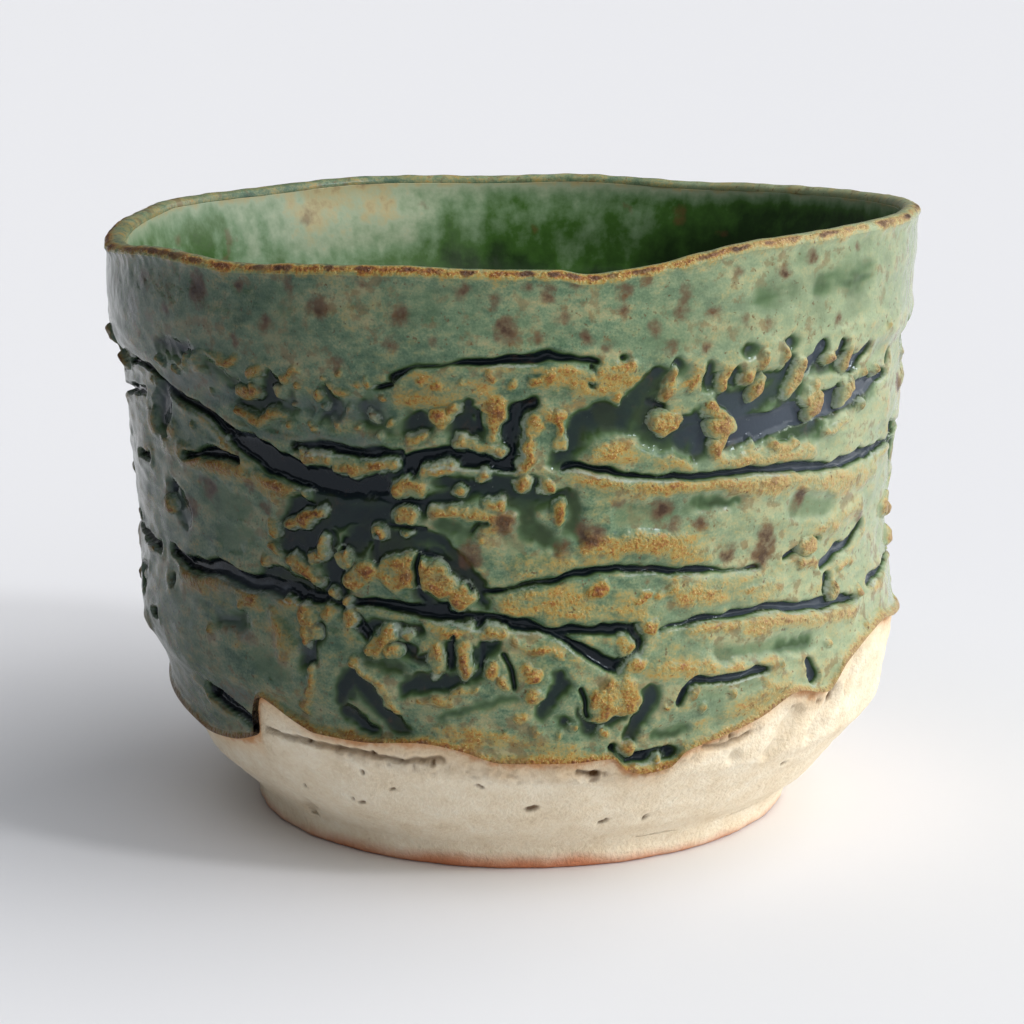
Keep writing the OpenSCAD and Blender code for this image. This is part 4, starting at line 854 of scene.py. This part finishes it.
def wall_glaze(name, shade=1.0):
    """Copper-green glaze over the relief: dark glass where it is thick, celadon on the plates, and amber
    granules where it is thin, with iron stains, freckles and the pale rime at the edges of lumps and tears.
    It is darkened towards -X by painted shade, by as much as the shade says, and paled towards +X by
    painted light, and the deep pools towards +X carry a painted reflection of the sky."""
    finish = Finish(name)
    relief = finish.field("relief")
    across = finish.add("SeparateXYZ", {0: finish.where}).outputs["X"]
    cloud = finish.grain(4.5, 3.0, (1, 1, 1.8))
    mottle = finish.grain(1.2, 5.0, (1, 1, 1.7))
    speck = finish.grain(0.17, 2.0)
    granule = finish.pebbles(0.28)
    colour = finish.ramp(finish.plus(relief, mottle, 0.22), GLASS_COLOURS)
    olive = finish.times(finish.remap(finish.grain(3.4, 3.0), 0.0, 0.14, 0.0, 0.55),
                         finish.remap(relief, -1.5, -0.9, 0.0, 1.0))
    colour = finish.mix(olive, colour, paint(44, 54, 26))
    # Painted reflection of the pale sky: a slate-blue grey mixed into the deep pools towards +X
    sky = finish.times(finish.remap(across, 0.006, 0.022, 0.0, 0.42), finish.remap(relief, -0.7, -1, 0, 1))
    colour = finish.mix(sky, colour, paint(104, 114, 128))
    patch = finish.plus(finish.plus(finish.times(cloud, 1.5), mottle, 1.1), speck, 0.7)
    plate = finish.ramp(patch, PLATE_COLOURS)
    # Painted light: the plates are paler towards +X, on the lit side
    plate = finish.mix(finish.remap(across, 0.004, 0.026, 0.0, 0.5), plate, paint(182, 192, 154))
    colour = finish.mix(finish.remap(relief, -0.5, -0.08, 0.0, 1.0), colour, plate)
    ochre = finish.grain(2.6, 4.0, (1, 1, 2.2))
    thin = finish.plus(finish.plus(finish.plus(relief, mottle, 0.5), granule, 0.2), ochre, 0.7)
    amber = finish.ramp(finish.plus(finish.plus(thin, speck, 0.9), mottle, 0.4), AMBER_COLOURS)
    # Painted light: the amber is paler towards +X, on the lit side
    amber = finish.mix(finish.remap(across, 0.008, 0.026, 0.0, 0.32), amber, paint(192, 184, 144))
    colour = finish.mix(finish.remap(thin, -0.24, 0.26, 0.0, 0.94), colour, amber)
    fleck = finish.times(finish.remap(finish.grain(0.16, 1.0), 0.13, 0.24, 0.0, 0.75),
                         finish.remap(thin, 0.05, 0.3, 0.0, 1.0))
    colour = finish.mix(fleck, colour, paint(222, 200, 142))
    # Slate-grey veil on the plates, with painted shadow under the lip's edge at the far left
    slate_and_shadow = finish.plus(finish.field("slate_and_shadow"), mottle, 1.2)
    veil = finish.times(finish.remap(slate_and_shadow, 0.4, 1.1, 0.0, 0.5), finish.remap(thin, 0.3, 0, 0, 1))
    colour = finish.mix(veil, colour, paint(88, 96, 102))
    stain = finish.plus(finish.field("iron"), finish.grain(0.5, 4.0), 1.2)
    stain = finish.plus(stain, finish.grain(2.8), 1.4)
    colour = finish.mix(finish.remap(stain, 0.15, 1.05, 0.0, 0.82), colour, paint(98, 66, 46))
    colour = finish.mix(finish.remap(stain, 0.85, 1.25, 0.0, 0.8), colour, paint(56, 36, 24))
    land = finish.remap(relief, -0.5, -0.15, 0.0, 1.0)
    rust = finish.remap(finish.plus(finish.grain(1.0, 4.0), cloud, 0.6), 0.05, 0.18, 0.0, 0.55)
    colour = finish.mix(finish.times(rust, land), colour, paint(116, 92, 58))
    rime = finish.plus(finish.field("frost"), finish.grain(0.3, 3.0), 2.2)
    colour = finish.mix(finish.remap(rime, 0.35, 1.1, 0.0, 0.62), colour, paint(166, 178, 164))
    freckle = finish.remap(finish.grain(0.4, 2.0), 0.13, 0.24, 0.0, 0.75)
    colour = finish.mix(finish.times(freckle, land), colour, paint(96, 66, 38))
    # Painted shade on the side away from the lamps: darker and greyer towards -X, and darker again at the
    # far left edge
    colour = finish.tint(finish.remap(across, 0.006, -0.026, 0.0, shade), colour, (0.46, 0.46, 0.53, 1))
    colour = finish.tint(finish.remap(across, -0.02, -0.031, 0.0, shade), colour, (0.72, 0.74, 0.74, 1))
    finish.set(Base_Color=colour, Roughness=finish.remap(relief, -0.6, 0.3, 0.07, 0.32), IOR=1.5,
               Specular_IOR_Level=0.24, Specular_Tint=(0.8, 0.9, 1, 1))
    grain = finish.times(finish.plus(granule, speck, 0.8), finish.remap(relief, 0.0, 0.3, 0.06, 1.0))
    finish.bump(grain, 0.17)
    return finish.material


def inner_glaze_finish():
    """Glossy green coat: cream where thin, bottle green where it ran thick, with iron specks, and painted
    shade towards -X.
    """
    finish = Finish("inner_coat")
    relief = finish.field("relief")
    level = finish.plus(relief, finish.grain(1.2, 4.0), 0.5)
    level = finish.plus(level, finish.grain(3.5, 4.0, (1, 1, 0.35)), 0.5)
    colour = finish.ramp(level, INNER_COLOURS)
    stain = finish.plus(finish.field("iron"), finish.grain(0.9, 4.0), 1.4)
    colour = finish.mix(finish.remap(stain, 0.4, 1.1, 0.0, 0.6), colour, paint(104, 72, 44))
    across = finish.add("SeparateXYZ", {0: finish.where}).outputs["X"]
    # Painted shade: greyer and darker towards -X
    colour = finish.tint(finish.remap(across, -0.008, -0.026, 0.0, 1.0), colour, (0.68, 0.72, 0.74, 1))
    finish.set(Base_Color=colour, Roughness=0.3, IOR=1.5, Specular_IOR_Level=0.3)
    finish.bump(finish.grain(0.9, 2.0), 0.03)
    return finish.material


def well_finish():
    """Thick bottle-green glass lying level at the bottom."""
    finish = Finish("well_glass")
    colour = finish.ramp(finish.grain(5.0, 4.0), WELL_COLOURS)
    finish.set(Base_Color=colour, Roughness=0.06, IOR=1.52)
    return finish.material


def clay_finish(name):
    """Dry cream stoneware: sandy, stained peach under the glaze line, with painted shade in its pits,
    creases and dents, and flushed orange low down, where the flame touched it."""
    finish = Finish(name)
    sand = finish.plus(finish.grain(2.4, 5.0), finish.grain(0.35, 3.0), 0.6)
    colour = finish.ramp(sand, CLAY_COLOURS)
    below = finish.plus(finish.field("below_line"), finish.grain(1.1, 4.0), 1.4)
    colour = finish.mix(finish.remap(below, 0.85, 0.05, 0.0, 0.88), colour, paint(192, 114, 62))
    colour = finish.mix(finish.remap(below, 2.2, 0.5, 0.0, 0.4), colour, paint(222, 180, 126))
    parts = finish.add("SeparateXYZ", {0: finish.where}).outputs
    height = finish.plus(parts["Z"], finish.math("ABSOLUTE", parts["X"]), 0.03)
    flame = finish.plus(height, finish.grain(7.0, 3.0), 0.002)
    flush = finish.remap(flame, FLASH_HIGH * MM, FLASH_LOW * MM, 0.0, 0.85)
    colour = finish.mix(flush, colour, paint(196, 106, 58))
    speck = finish.remap(finish.grain(0.8, 2.0), 0.24, 0.36, 0.0, 0.6)
    colour = finish.mix(speck, colour, paint(140, 108, 78))
    # Painted shade in the hollows: the pits, the creases, the dents and the low places of the crumbly clay
    colour = finish.mix(finish.field("pit"), colour, paint(96, 68, 40))
    finish.set(Base_Color=colour, Roughness=0.85, IOR=1.45, Specular_IOR_Level=0.25)
    finish.bump(finish.plus(finish.grain(0.25, 3.0), finish.grain(0.9, 3.0), 0.8), 0.16)
    return finish.material


# Bands up the glazed wall, as (piece, slot, rows of points)
BANDS = [("torn_skin_lower", "torn_skin", 64), ("fissure_glaze_lower", "tear_glass", 8),
         ("torn_skin_middle", "torn_skin", 64), ("fissure_glaze_upper", "tear_glass", 14),
         ("torn_skin_upper", "torn_skin", 56), ("ledge_glaze", "tear_glass", 7),
         ("lip_glaze", "lip_coat", 44)]


def torn_wall():
    """The seven bands of the glazed wall. They share their columns and their edge rows, so they meet
    without a gap: the torn skin in three courses, the glass in the two tears and under the ledge, and the
    coat of the lip. Each band's back is its outline moved into the clay, less deep where the lip thins."""
    angle = np.linspace(-180, 180, COLUMNS, endpoint=False)
    edges = [np.broadcast_to(edge, angle.shape) for edge in course_edges(angle)]
    heights = [blend(low, high, np.linspace(0, 1, rows)[:, None])
               for low, high, (_, _, rows) in zip(edges, edges[1:], BANDS)]
    height = np.concatenate([heights[0]] + [band[1:] for band in heights[1:]])
    level, stains = torn_relief(angle, height, edges)
    radius = np.minimum(wall_radius(angle, height) - GLAZE_SINK + glazed_height(level), WALL_LIMIT)
    finishes = {slot: wall_glaze(slot) for slot in ("torn_skin", "tear_glass", "lip_coat")}
    normals = grid_normals(place(radius, angle, height))
    first = 0
    for name, slot, rows in BANDS:
        shown_rows = slice(first, first + rows)
        backs = [first + rows - 1, first]
        back_radius = wall_radius(angle, height[backs]) - BACK_SINK + 0.8 * taper(height[backs])
        fields = {field: np.concatenate([values[shown_rows], values[backs]])
                  for field, values in {"relief": level, **stains}.items()}
        piece = ring(name, np.concatenate([radius[shown_rows], back_radius]), angle,
                     np.concatenate([height[shown_rows], height[backs]]), fields, finishes[slot],
                     np.concatenate([normals[shown_rows], -normals[backs]]))
        stands_for(piece, name)
        first += rows - 1
    return radius[-1], level[-1]


def clay_crumbs():
    """Lumps on the skin. Each is a round patch whose relief rises from its wandering edge to its peak as a
    ridge's does, over an underside that closes to a point in the skin. Those at the upper right are narrow
    and lean."""
    sides, rings = 44, 18
    around = np.linspace(0, 2 * np.pi, sides, endpoint=False)
    out = np.linspace(1.3, 0, rings + 1)[:-1, None]
    angle, course, share, width = np.array(CRUMBS).T[:, :, None, None]
    edges = np.array([course_edges(a) for a in angle.ravel()])
    row = np.arange(len(angle))
    pick = course.ravel().astype(int)
    middle = blend(edges[row, pick, None, None], edges[row, pick + 1, None, None], share)
    half = 0.44 * width - 0.1
    leaning = (course == UPPER) & (angle > 30) & (angle < 60)
    up = np.where(leaning, 1.1, 0.76) * half * out * np.sin(around)
    along = np.where(leaning, 0.66, 1.0) * half * out * np.cos(around) + np.where(leaning, 0.45, 0.0) * up
    turn = angle + along / DEGREE
    height = middle + up
    spot = place(WALL_R, turn, height)
    edge = half * 0.9 * (out - 1) + 0.22 * noise(spot, 1.3, 11) + 0.1 * noise(spot, 0.55, 12)
    level = lump(spot, edge)
    radius = wall_radius(turn, height) - GLAZE_SINK + np.where(level > 0, 1.2 * level, 1.1 * level)
    frost = np.exp(-((edge - 0.1) / 0.12) ** 2)
    count = len(angle)
    grid = place(radius, turn, height).reshape(count, -1, 3)
    flat_angle, flat_middle = angle.ravel(), middle.ravel()
    centre = wall_radius(flat_angle, flat_middle)
    top = place(centre - GLAZE_SINK + 1.2 * level[:, -1].mean(-1), flat_angle, flat_middle)
    bottom = place(centre - 1.4, flat_angle, flat_middle)
    points = np.concatenate([grid, bottom[:, None], top[:, None]], axis=1)
    shift = (np.arange(count) * points.shape[1])[:, None, None]
    low = np.full((count, 1), -0.7)
    relief = np.concatenate([level.reshape(count, -1), low, level[:, -1, :1]], axis=1)
    rime = np.concatenate([frost.reshape(count, -1), low, low], axis=1)
    quads = (strips(rings, sides, False) + shift).reshape(-1, 4)
    fans = (end_fans(rings, sides) + shift).reshape(-1, 3)
    piece = shown("clay_crumbs", points.reshape(-1, 3), quads, fans, {"relief": relief, "frost": rime},
                  wall_glaze("crumbs"))
    stands_for(piece, "clay_crumbs")


# The wall's thickness at the waist and at the lip, and the heights between which it eases
INNER_WALL_T = 4.7
INNER_LIP_T = 2.4
EASE_FROM, EASE_TO = 21.6, 46.6
# The round bottom of the bowl, the coat in it, how deep the clay lies behind the coat, and the pool
ROUND_TOP = 19.9
ROUND_H = 13.0
BOWL_LOW = ROUND_TOP - ROUND_H
COAT_T = 0.45
CLAY_DEPTH = 0.6
POOL_TOP = 8.1
POOL_CREEP = 0.25


def inside_radius(angle, height):
    """Radius of the finished inside: the wall less its thickness, which eases from the waist to the lip."""
    thick = blend(INNER_WALL_T, INNER_LIP_T, smooth(height, EASE_FROM, EASE_TO))
    return wall_radius(angle, height) - thick + taper(height)


def inside_path(angle, rim, rows, round_rows, sink):
    """Rows down the inside: level steps from the rim to the round, then a quarter of an ellipse to the
    middle. The second row lies close to the first, to keep the edge there. Sink moves the rows into the
    clay."""
    share = np.linspace(1, 0, rows)
    share[1] = 0.998
    height = blend(ROUND_TOP, rim, share[:, None])
    radius = inside_radius(angle, height) + sink
    turn = np.linspace(np.pi / 2, 0, round_rows + 1)[1:-1, None]
    low_radius = (inside_radius(angle, ROUND_TOP) + sink) * np.sin(turn)
    low_height = np.broadcast_to(ROUND_TOP - (ROUND_H + sink) * np.cos(turn), low_radius.shape)
    return np.concatenate([radius, low_radius]), np.concatenate([height, low_height])


# Iron spots inside the bowl, as strokes
INNER_SPOTS = [[(160, 44.2, .5)], [(150, 43.8, .9)], [(141, 42.6, .5)], [(-165, 44.6, .4)], [(-143, 44, .8)],
               [(-126, 43, .7), (-124, 41, .5)], [(-112, 43.4, .6)], [(176, 42, .4)], [(118, 43, .8)]]
# How much thicker the inner coat is round the bowl, as (angle, amount): partly the glaze's own runs, and
# partly painted shade, as the large amounts at the right darken the inside wall that lies in shade
INNER_THICK_AND_SHADE = [(-180, .26), (-172, .15), (-164, -.02), (-155, -.15), (-146, -.16), (-133, .1),
               (-113, .26), (-80, .24), (0, .1), (70, .3), (105, .62), (127, .6), (141, .46),
               (155, .32), (168, .26)]


def inner_glaze():
    """Coat inside the bowl. It is thin at the rim and thicker in runs below; each run is noise that hardly
    changes with height. Round the bowl it is thickened by a given amount at each angle, partly its own runs
    and partly painted shade at the right. The back of the coat lies in the clay."""
    angle = np.linspace(-180, 180, FEW_COLUMNS, endpoint=False)
    rim = ring_line(RIM_LINE, angle) - RIM_BEAD_H
    radius, height = inside_path(angle, rim, 84, 28, 0.0)
    spot = place(radius, angle, height)
    runs = noise(spot * (1, 1, 0.16), 4.2, 61) + 0.6 * noise(spot * (1, 1, 0.3), 1.6, 62)
    down = rim + RIM_BEAD_H - height
    level = -0.02 - 0.42 * smooth(down + 3.2 * runs, 2.0, 12.0) + 0.25 * smooth(down, 12, 24)
    # Partly painted shade: the coat darkens most at the right, where the inside lies in shade
    thicker_and_shaded = ring_line(INNER_THICK_AND_SHADE, angle) * smooth(down, 0.3, 2.5)
    level -= thicker_and_shaded + 0.16 * smooth(down + 1.4 * runs, 5.6, 8.4)
    level += 0.22 * np.exp(-(down / 1.0) ** 2) + 0.08 * noise(spot, 2.0, 63)
    radius = radius - 0.1 * smooth(-level, 0.1, 0.7) - 0.04 * noise(spot, 2.4, 64)
    wander = [0.5 * noise(spot, 1.4, seed) for seed in (65, 66)]
    iron = 1 - smooth(stroke_edge(INNER_SPOTS, angle, height, wander), -0.6, 0.7)
    back_radius, back_height = inside_path(angle, rim, 12, 10, COAT_T)
    back = np.zeros(back_radius.shape)
    piece = domed("inner_glaze", np.concatenate([back_radius[::-1], radius]), angle,
                  np.concatenate([back_height[::-1], height]), (BOWL_LOW - COAT_T, BOWL_LOW),
                  {"relief": np.concatenate([back, level]), "iron": np.concatenate([back, iron])},
                  inner_glaze_finish())
    stands_for(piece, "inner_glaze")


def well_glaze():
    """Pool at the bottom: a level top that creeps up its edge, over an underside that follows the round."""
    angle = np.linspace(-180, 180, 180, endpoint=False)
    turn_edge = math.acos((ROUND_TOP - POOL_TOP) / ROUND_H)
    turn = np.linspace(0, turn_edge, 14)[1:, None]
    bowl = inside_radius(angle, ROUND_TOP)
    under_radius = bowl * np.sin(turn) - 0.02
    under_height = np.broadcast_to(ROUND_TOP - ROUND_H * np.cos(turn), under_radius.shape)
    share = np.linspace(1, 0, 24)[1:-1, None]
    top_radius = bowl * math.sin(turn_edge) * share
    ripple = 0.03 * noise(place(top_radius, angle, 0), 4.0, 71)
    top_height = POOL_TOP - POOL_CREEP * (1 - share ** 12) + ripple
    radius = np.concatenate([under_radius, top_radius])
    height = np.concatenate([under_height, top_height])
    poles = (BOWL_LOW, POOL_TOP - POOL_CREEP)
    piece = domed("well_glaze", radius, angle, height, poles, {}, well_finish())
    stands_for(piece, "well_glaze")


def rim_glaze(lip_radius, lip_level):
    """Bead over the edge of the mouth: half an ellipse from the lip's top row to the inner coat's, a little
    lumpy. Its relief rises over the crest, where the glaze thins to brown."""
    angle = np.linspace(-180, 180, COLUMNS, endpoint=False)
    edge = ring_line(RIM_LINE, angle) - RIM_BEAD_H
    inner = inside_radius(angle, edge)
    turn = np.concatenate([[0.0], np.linspace(0.02, np.pi - 0.02, 16), [np.pi]])[:, None]
    middle, half = (lip_radius + inner) / 2, (lip_radius - inner) / 2
    radius = middle + half * np.cos(turn)
    spot = place(radius, angle, edge)
    rise = RIM_BEAD_H * np.sin(turn) ** 0.8 * (0.92 + 0.1 * noise(spot, 1.8, 81))
    height = np.minimum(edge + rise, CUP_TOP)
    crest = np.exp(-((turn - 0.7) / 0.5) ** 2)
    level = blend(lip_level, -0.02, smooth(turn, 0, 1.6)) + crest * (0.42 + 0.35 * noise(spot, 1.3, 82))
    iron = smooth(crest + 1.2 * noise(spot, 1.0, 83), 0.75, 1.3)
    piece = ring("rim_glaze", radius, angle, height, {"relief": level, "iron": iron},
                 wall_glaze("rim_bead", RIM_SHADE))
    stands_for(piece, "rim_glaze")


def bare_relief(angle, height):
    """Relief of the bare clay: faint turning lines, slow lumps, sand and crumbly places, less the creases,
    the pits and the dents. With it comes the painted shade in those hollows and between the crumbs."""
    spot = place(WALL_R, angle, height)
    warp = [0.2 * noise(spot, 0.9, seed) for seed in (91, 92)]
    lines = np.sin(2 * np.pi * (height + 0.5 * noise(spot, 9, 93)) / 1.7)
    level = 0.05 * lines * (0.5 + 0.5 * noise(spot, 6, 94))
    level += 0.16 * noise(spot, 4.5, 95)
    level += 0.05 * noise(spot, 0.6, 96)
    crumbles = CRUMBLES + carried_round(CRUMBLES, 97)
    crumbly = 1 - smooth(stroke_edge(crumbles, angle, height, warp), -0.4, 0.5)
    lumps = 0.6 * noise(spot, 1.0, 98) + 0.4 * noise(spot, 0.45, 99)
    level += crumbly * (0.1 + 0.5 * lumps)
    pit = 1 - smooth(stroke_edge(PITS, angle, height, warp), -0.12, 0.12)
    crease = 1 - smooth(stroke_edge(CREASE, angle, height, warp), -0.12, 0.24)
    dent = 1 - smooth(stroke_edge(DENTS, angle, height, warp), -0.5, 0.4)
    # Painted shade in the hollows: darkest in the pits and creases, less in the crumbly places and the dents
    stain = 0.9 * pit + 0.6 * crease + crumbly * (0.12 + 0.6 * smooth(-lumps, 0.1, 0.5)) + 0.16 * dent
    return level - 0.3 * pit - 0.45 * crease - 0.5 * dent, np.clip(stain, 0, 1)


# How far below the glaze line clay counts as being where the line has no effect on its colour
FAR_BELOW = 5.0


def clay_body():
    """Bowl of clay: from the middle of its underside out to the foot, up the bare wall, on up behind the
    torn skin, over the lip, down the inside and back to the middle. The second bare row lies close to the
    first, to keep the edge at the foot."""
    angle = np.linspace(-180, 180, FEW_COLUMNS, endpoint=False)
    line = ring_line(GLAZE_LINE, angle)
    rim = ring_line(RIM_LINE, angle) - RIM_BEAD_H
    under_rows, bare_rows = 22, 84
    under_top = FOOT_TOP + 0.15
    under_radius = np.linspace(1, 0.04, under_rows)[::-1, None] * wall_radius(angle, FOOT_TOP) * 0.985
    turning = 0.08 * np.sin(2 * np.pi * under_radius / 2.2)
    turning = turning * smooth(under_radius, 1, 3) * (1 - smooth(under_radius, 16, 17))
    under_height = under_top + turning
    share = np.linspace(0, 1, bare_rows)
    share[1] = 0.003
    bare_height = blend(FOOT_TOP, line + 0.25, share[:, None])
    level, pit = bare_relief(angle, bare_height)
    bare_radius = wall_radius(angle, bare_height) - BARE_SINK + level
    hidden_height = blend(line + 0.3, rim - 0.05, np.linspace(0, 1, 10)[:, None])
    hidden_radius = wall_radius(angle, hidden_height) - HIDDEN_SINK + 0.9 * taper(hidden_height)
    inner_radius, inner_height = inside_path(angle, rim - 0.05, 10, 10, CLAY_DEPTH)
    radius = np.concatenate([under_radius, bare_radius, hidden_radius, inner_radius])
    height = np.concatenate([under_height, bare_height, hidden_height, inner_height])
    below = np.full(radius.shape, FAR_BELOW)
    bare = slice(under_rows, under_rows + bare_rows)
    below[bare] = line - bare_height
    hollow_shade = np.zeros(radius.shape)
    hollow_shade[bare] = pit
    piece = domed("clay_body", radius, angle, height, (under_top, BOWL_LOW - CLAY_DEPTH),
                  {"below_line": below, "pit": hollow_shade}, clay_finish("bare_clay"))
    stands_for(piece, "clay_body")


def foot_ring():
    """Turned ring: the wall's own outline down to a rounded edge, the flat that stands on the table, and a
    plain wall inside."""
    angle = np.linspace(-180, 180, FEW_COLUMNS, endpoint=False)
    edge, inside, side_rows = 0.5, 17.2, 16
    up = np.concatenate([[1.0], np.linspace(0.985, 0, side_rows - 1)])[:, None]
    side_height = np.broadcast_to(blend(edge, FOOT_TOP, up), (side_rows, FEW_COLUMNS))
    level, pit = bare_relief(angle, side_height)
    side = wall_radius(angle, side_height) - BARE_SINK + level
    turn = np.linspace(0, np.pi / 2, 8)[1:, None]
    round_radius = side[-1] - edge * (1 - np.cos(turn))
    round_height = np.broadcast_to(edge * (1 - np.sin(turn)), round_radius.shape)
    flat_radius = blend(side[-1] - edge, inside + edge, np.linspace(0, 1, 8)[1:, None])
    inner_radius = np.broadcast_to(inside + edge * (1 - np.sin(turn)), round_radius.shape)
    inner_height = np.broadcast_to(edge * (1 - np.cos(turn)), round_radius.shape)
    top = np.full((1, FEW_COLUMNS), inside)
    radius = np.concatenate([side, round_radius, flat_radius, inner_radius, top])[::-1]
    height = np.concatenate([side_height, round_height, np.zeros(flat_radius.shape), inner_height,
                             np.full((1, FEW_COLUMNS), FOOT_TOP)])[::-1]
    hollow_shade = np.zeros(radius.shape)
    hollow_shade[-side_rows:] = pit[::-1]
    fields = {"below_line": np.full(radius.shape, FAR_BELOW), "pit": hollow_shade}
    piece = ring("foot_ring", radius, angle, height, fields, clay_finish("foot_clay"))
    stands_for(piece, "foot_ring")


# Lamps, as (name, where the light comes from, spread in degrees, strength, colour)
LAMPS = [("key", (0.95, 0.2, 0.6), 72, 2.1, (1, 0.98, 0.95)),
         ("side", (0.8, -0.6, 0.42), 80, 1.5, (1, 0.99, 0.97)),
         ("window", (0.7, -0.4, 0.6), 8, 0.75, (1, 1, 1)),
         ("top", (0, 0, 1), 80, 0.95, (0.95, 0.97, 1))]


def studio():
    """Camera where the cup was seen from, a pale floor, and soft lamps at the right and above."""
    camera = bpy.data.objects.new("camera", bpy.data.cameras.new("camera"))
    camera.data.lens = 95.9
    camera.data.sensor_width = 36
    camera.data.clip_start = 0.01
    camera.location = (0, -0.2152, 0.0704)
    camera.rotation_euler = (math.radians(77.5), 0, 0)
    bpy.context.scene.collection.objects.link(camera)
    bpy.context.scene.camera = camera

    half = 6.0
    mesh = bpy.data.meshes.new("floor")
    corners = [(-half, -half, 0), (half, -half, 0), (half, half, 0), (-half, half, 0)]
    mesh.from_pydata(corners, [], [(0, 1, 2, 3)])
    floor = bpy.data.objects.new("floor", mesh)
    bpy.context.scene.collection.objects.link(floor)
    pale = Finish("floor_white")
    pale.set(Base_Color=(0.775, 0.78, 0.81, 1), Roughness=0.9, Specular_IOR_Level=0.1)
    mesh.materials.append(pale.material)

    for name, spot, spread, power, colour in LAMPS:
        lamp = bpy.data.lights.new(name, "SUN")
        lamp.angle = math.radians(spread)
        lamp.energy = power
        lamp.color = colour
        light = bpy.data.objects.new(name, lamp)
        light.location = spot
        light.rotation_euler = (-light.location.normalized()).to_track_quat("-Z", "Y").to_euler()
        bpy.context.scene.collection.objects.link(light)

    world = bpy.data.worlds.new("studio")
    world.use_nodes = True
    sky = world.node_tree.nodes["Background"].inputs
    sky["Color"].default_value = (0.93, 0.96, 1, 1)
    sky["Strength"].default_value = 0.12
    bpy.context.scene.world = world
    bpy.context.scene.view_settings.view_transform = "Standard"


studio()
clay_body()
foot_ring()
lip_edge, lip_relief = torn_wall()
clay_crumbs()
rim_glaze(lip_edge, lip_relief)
inner_glaze()
well_glaze()
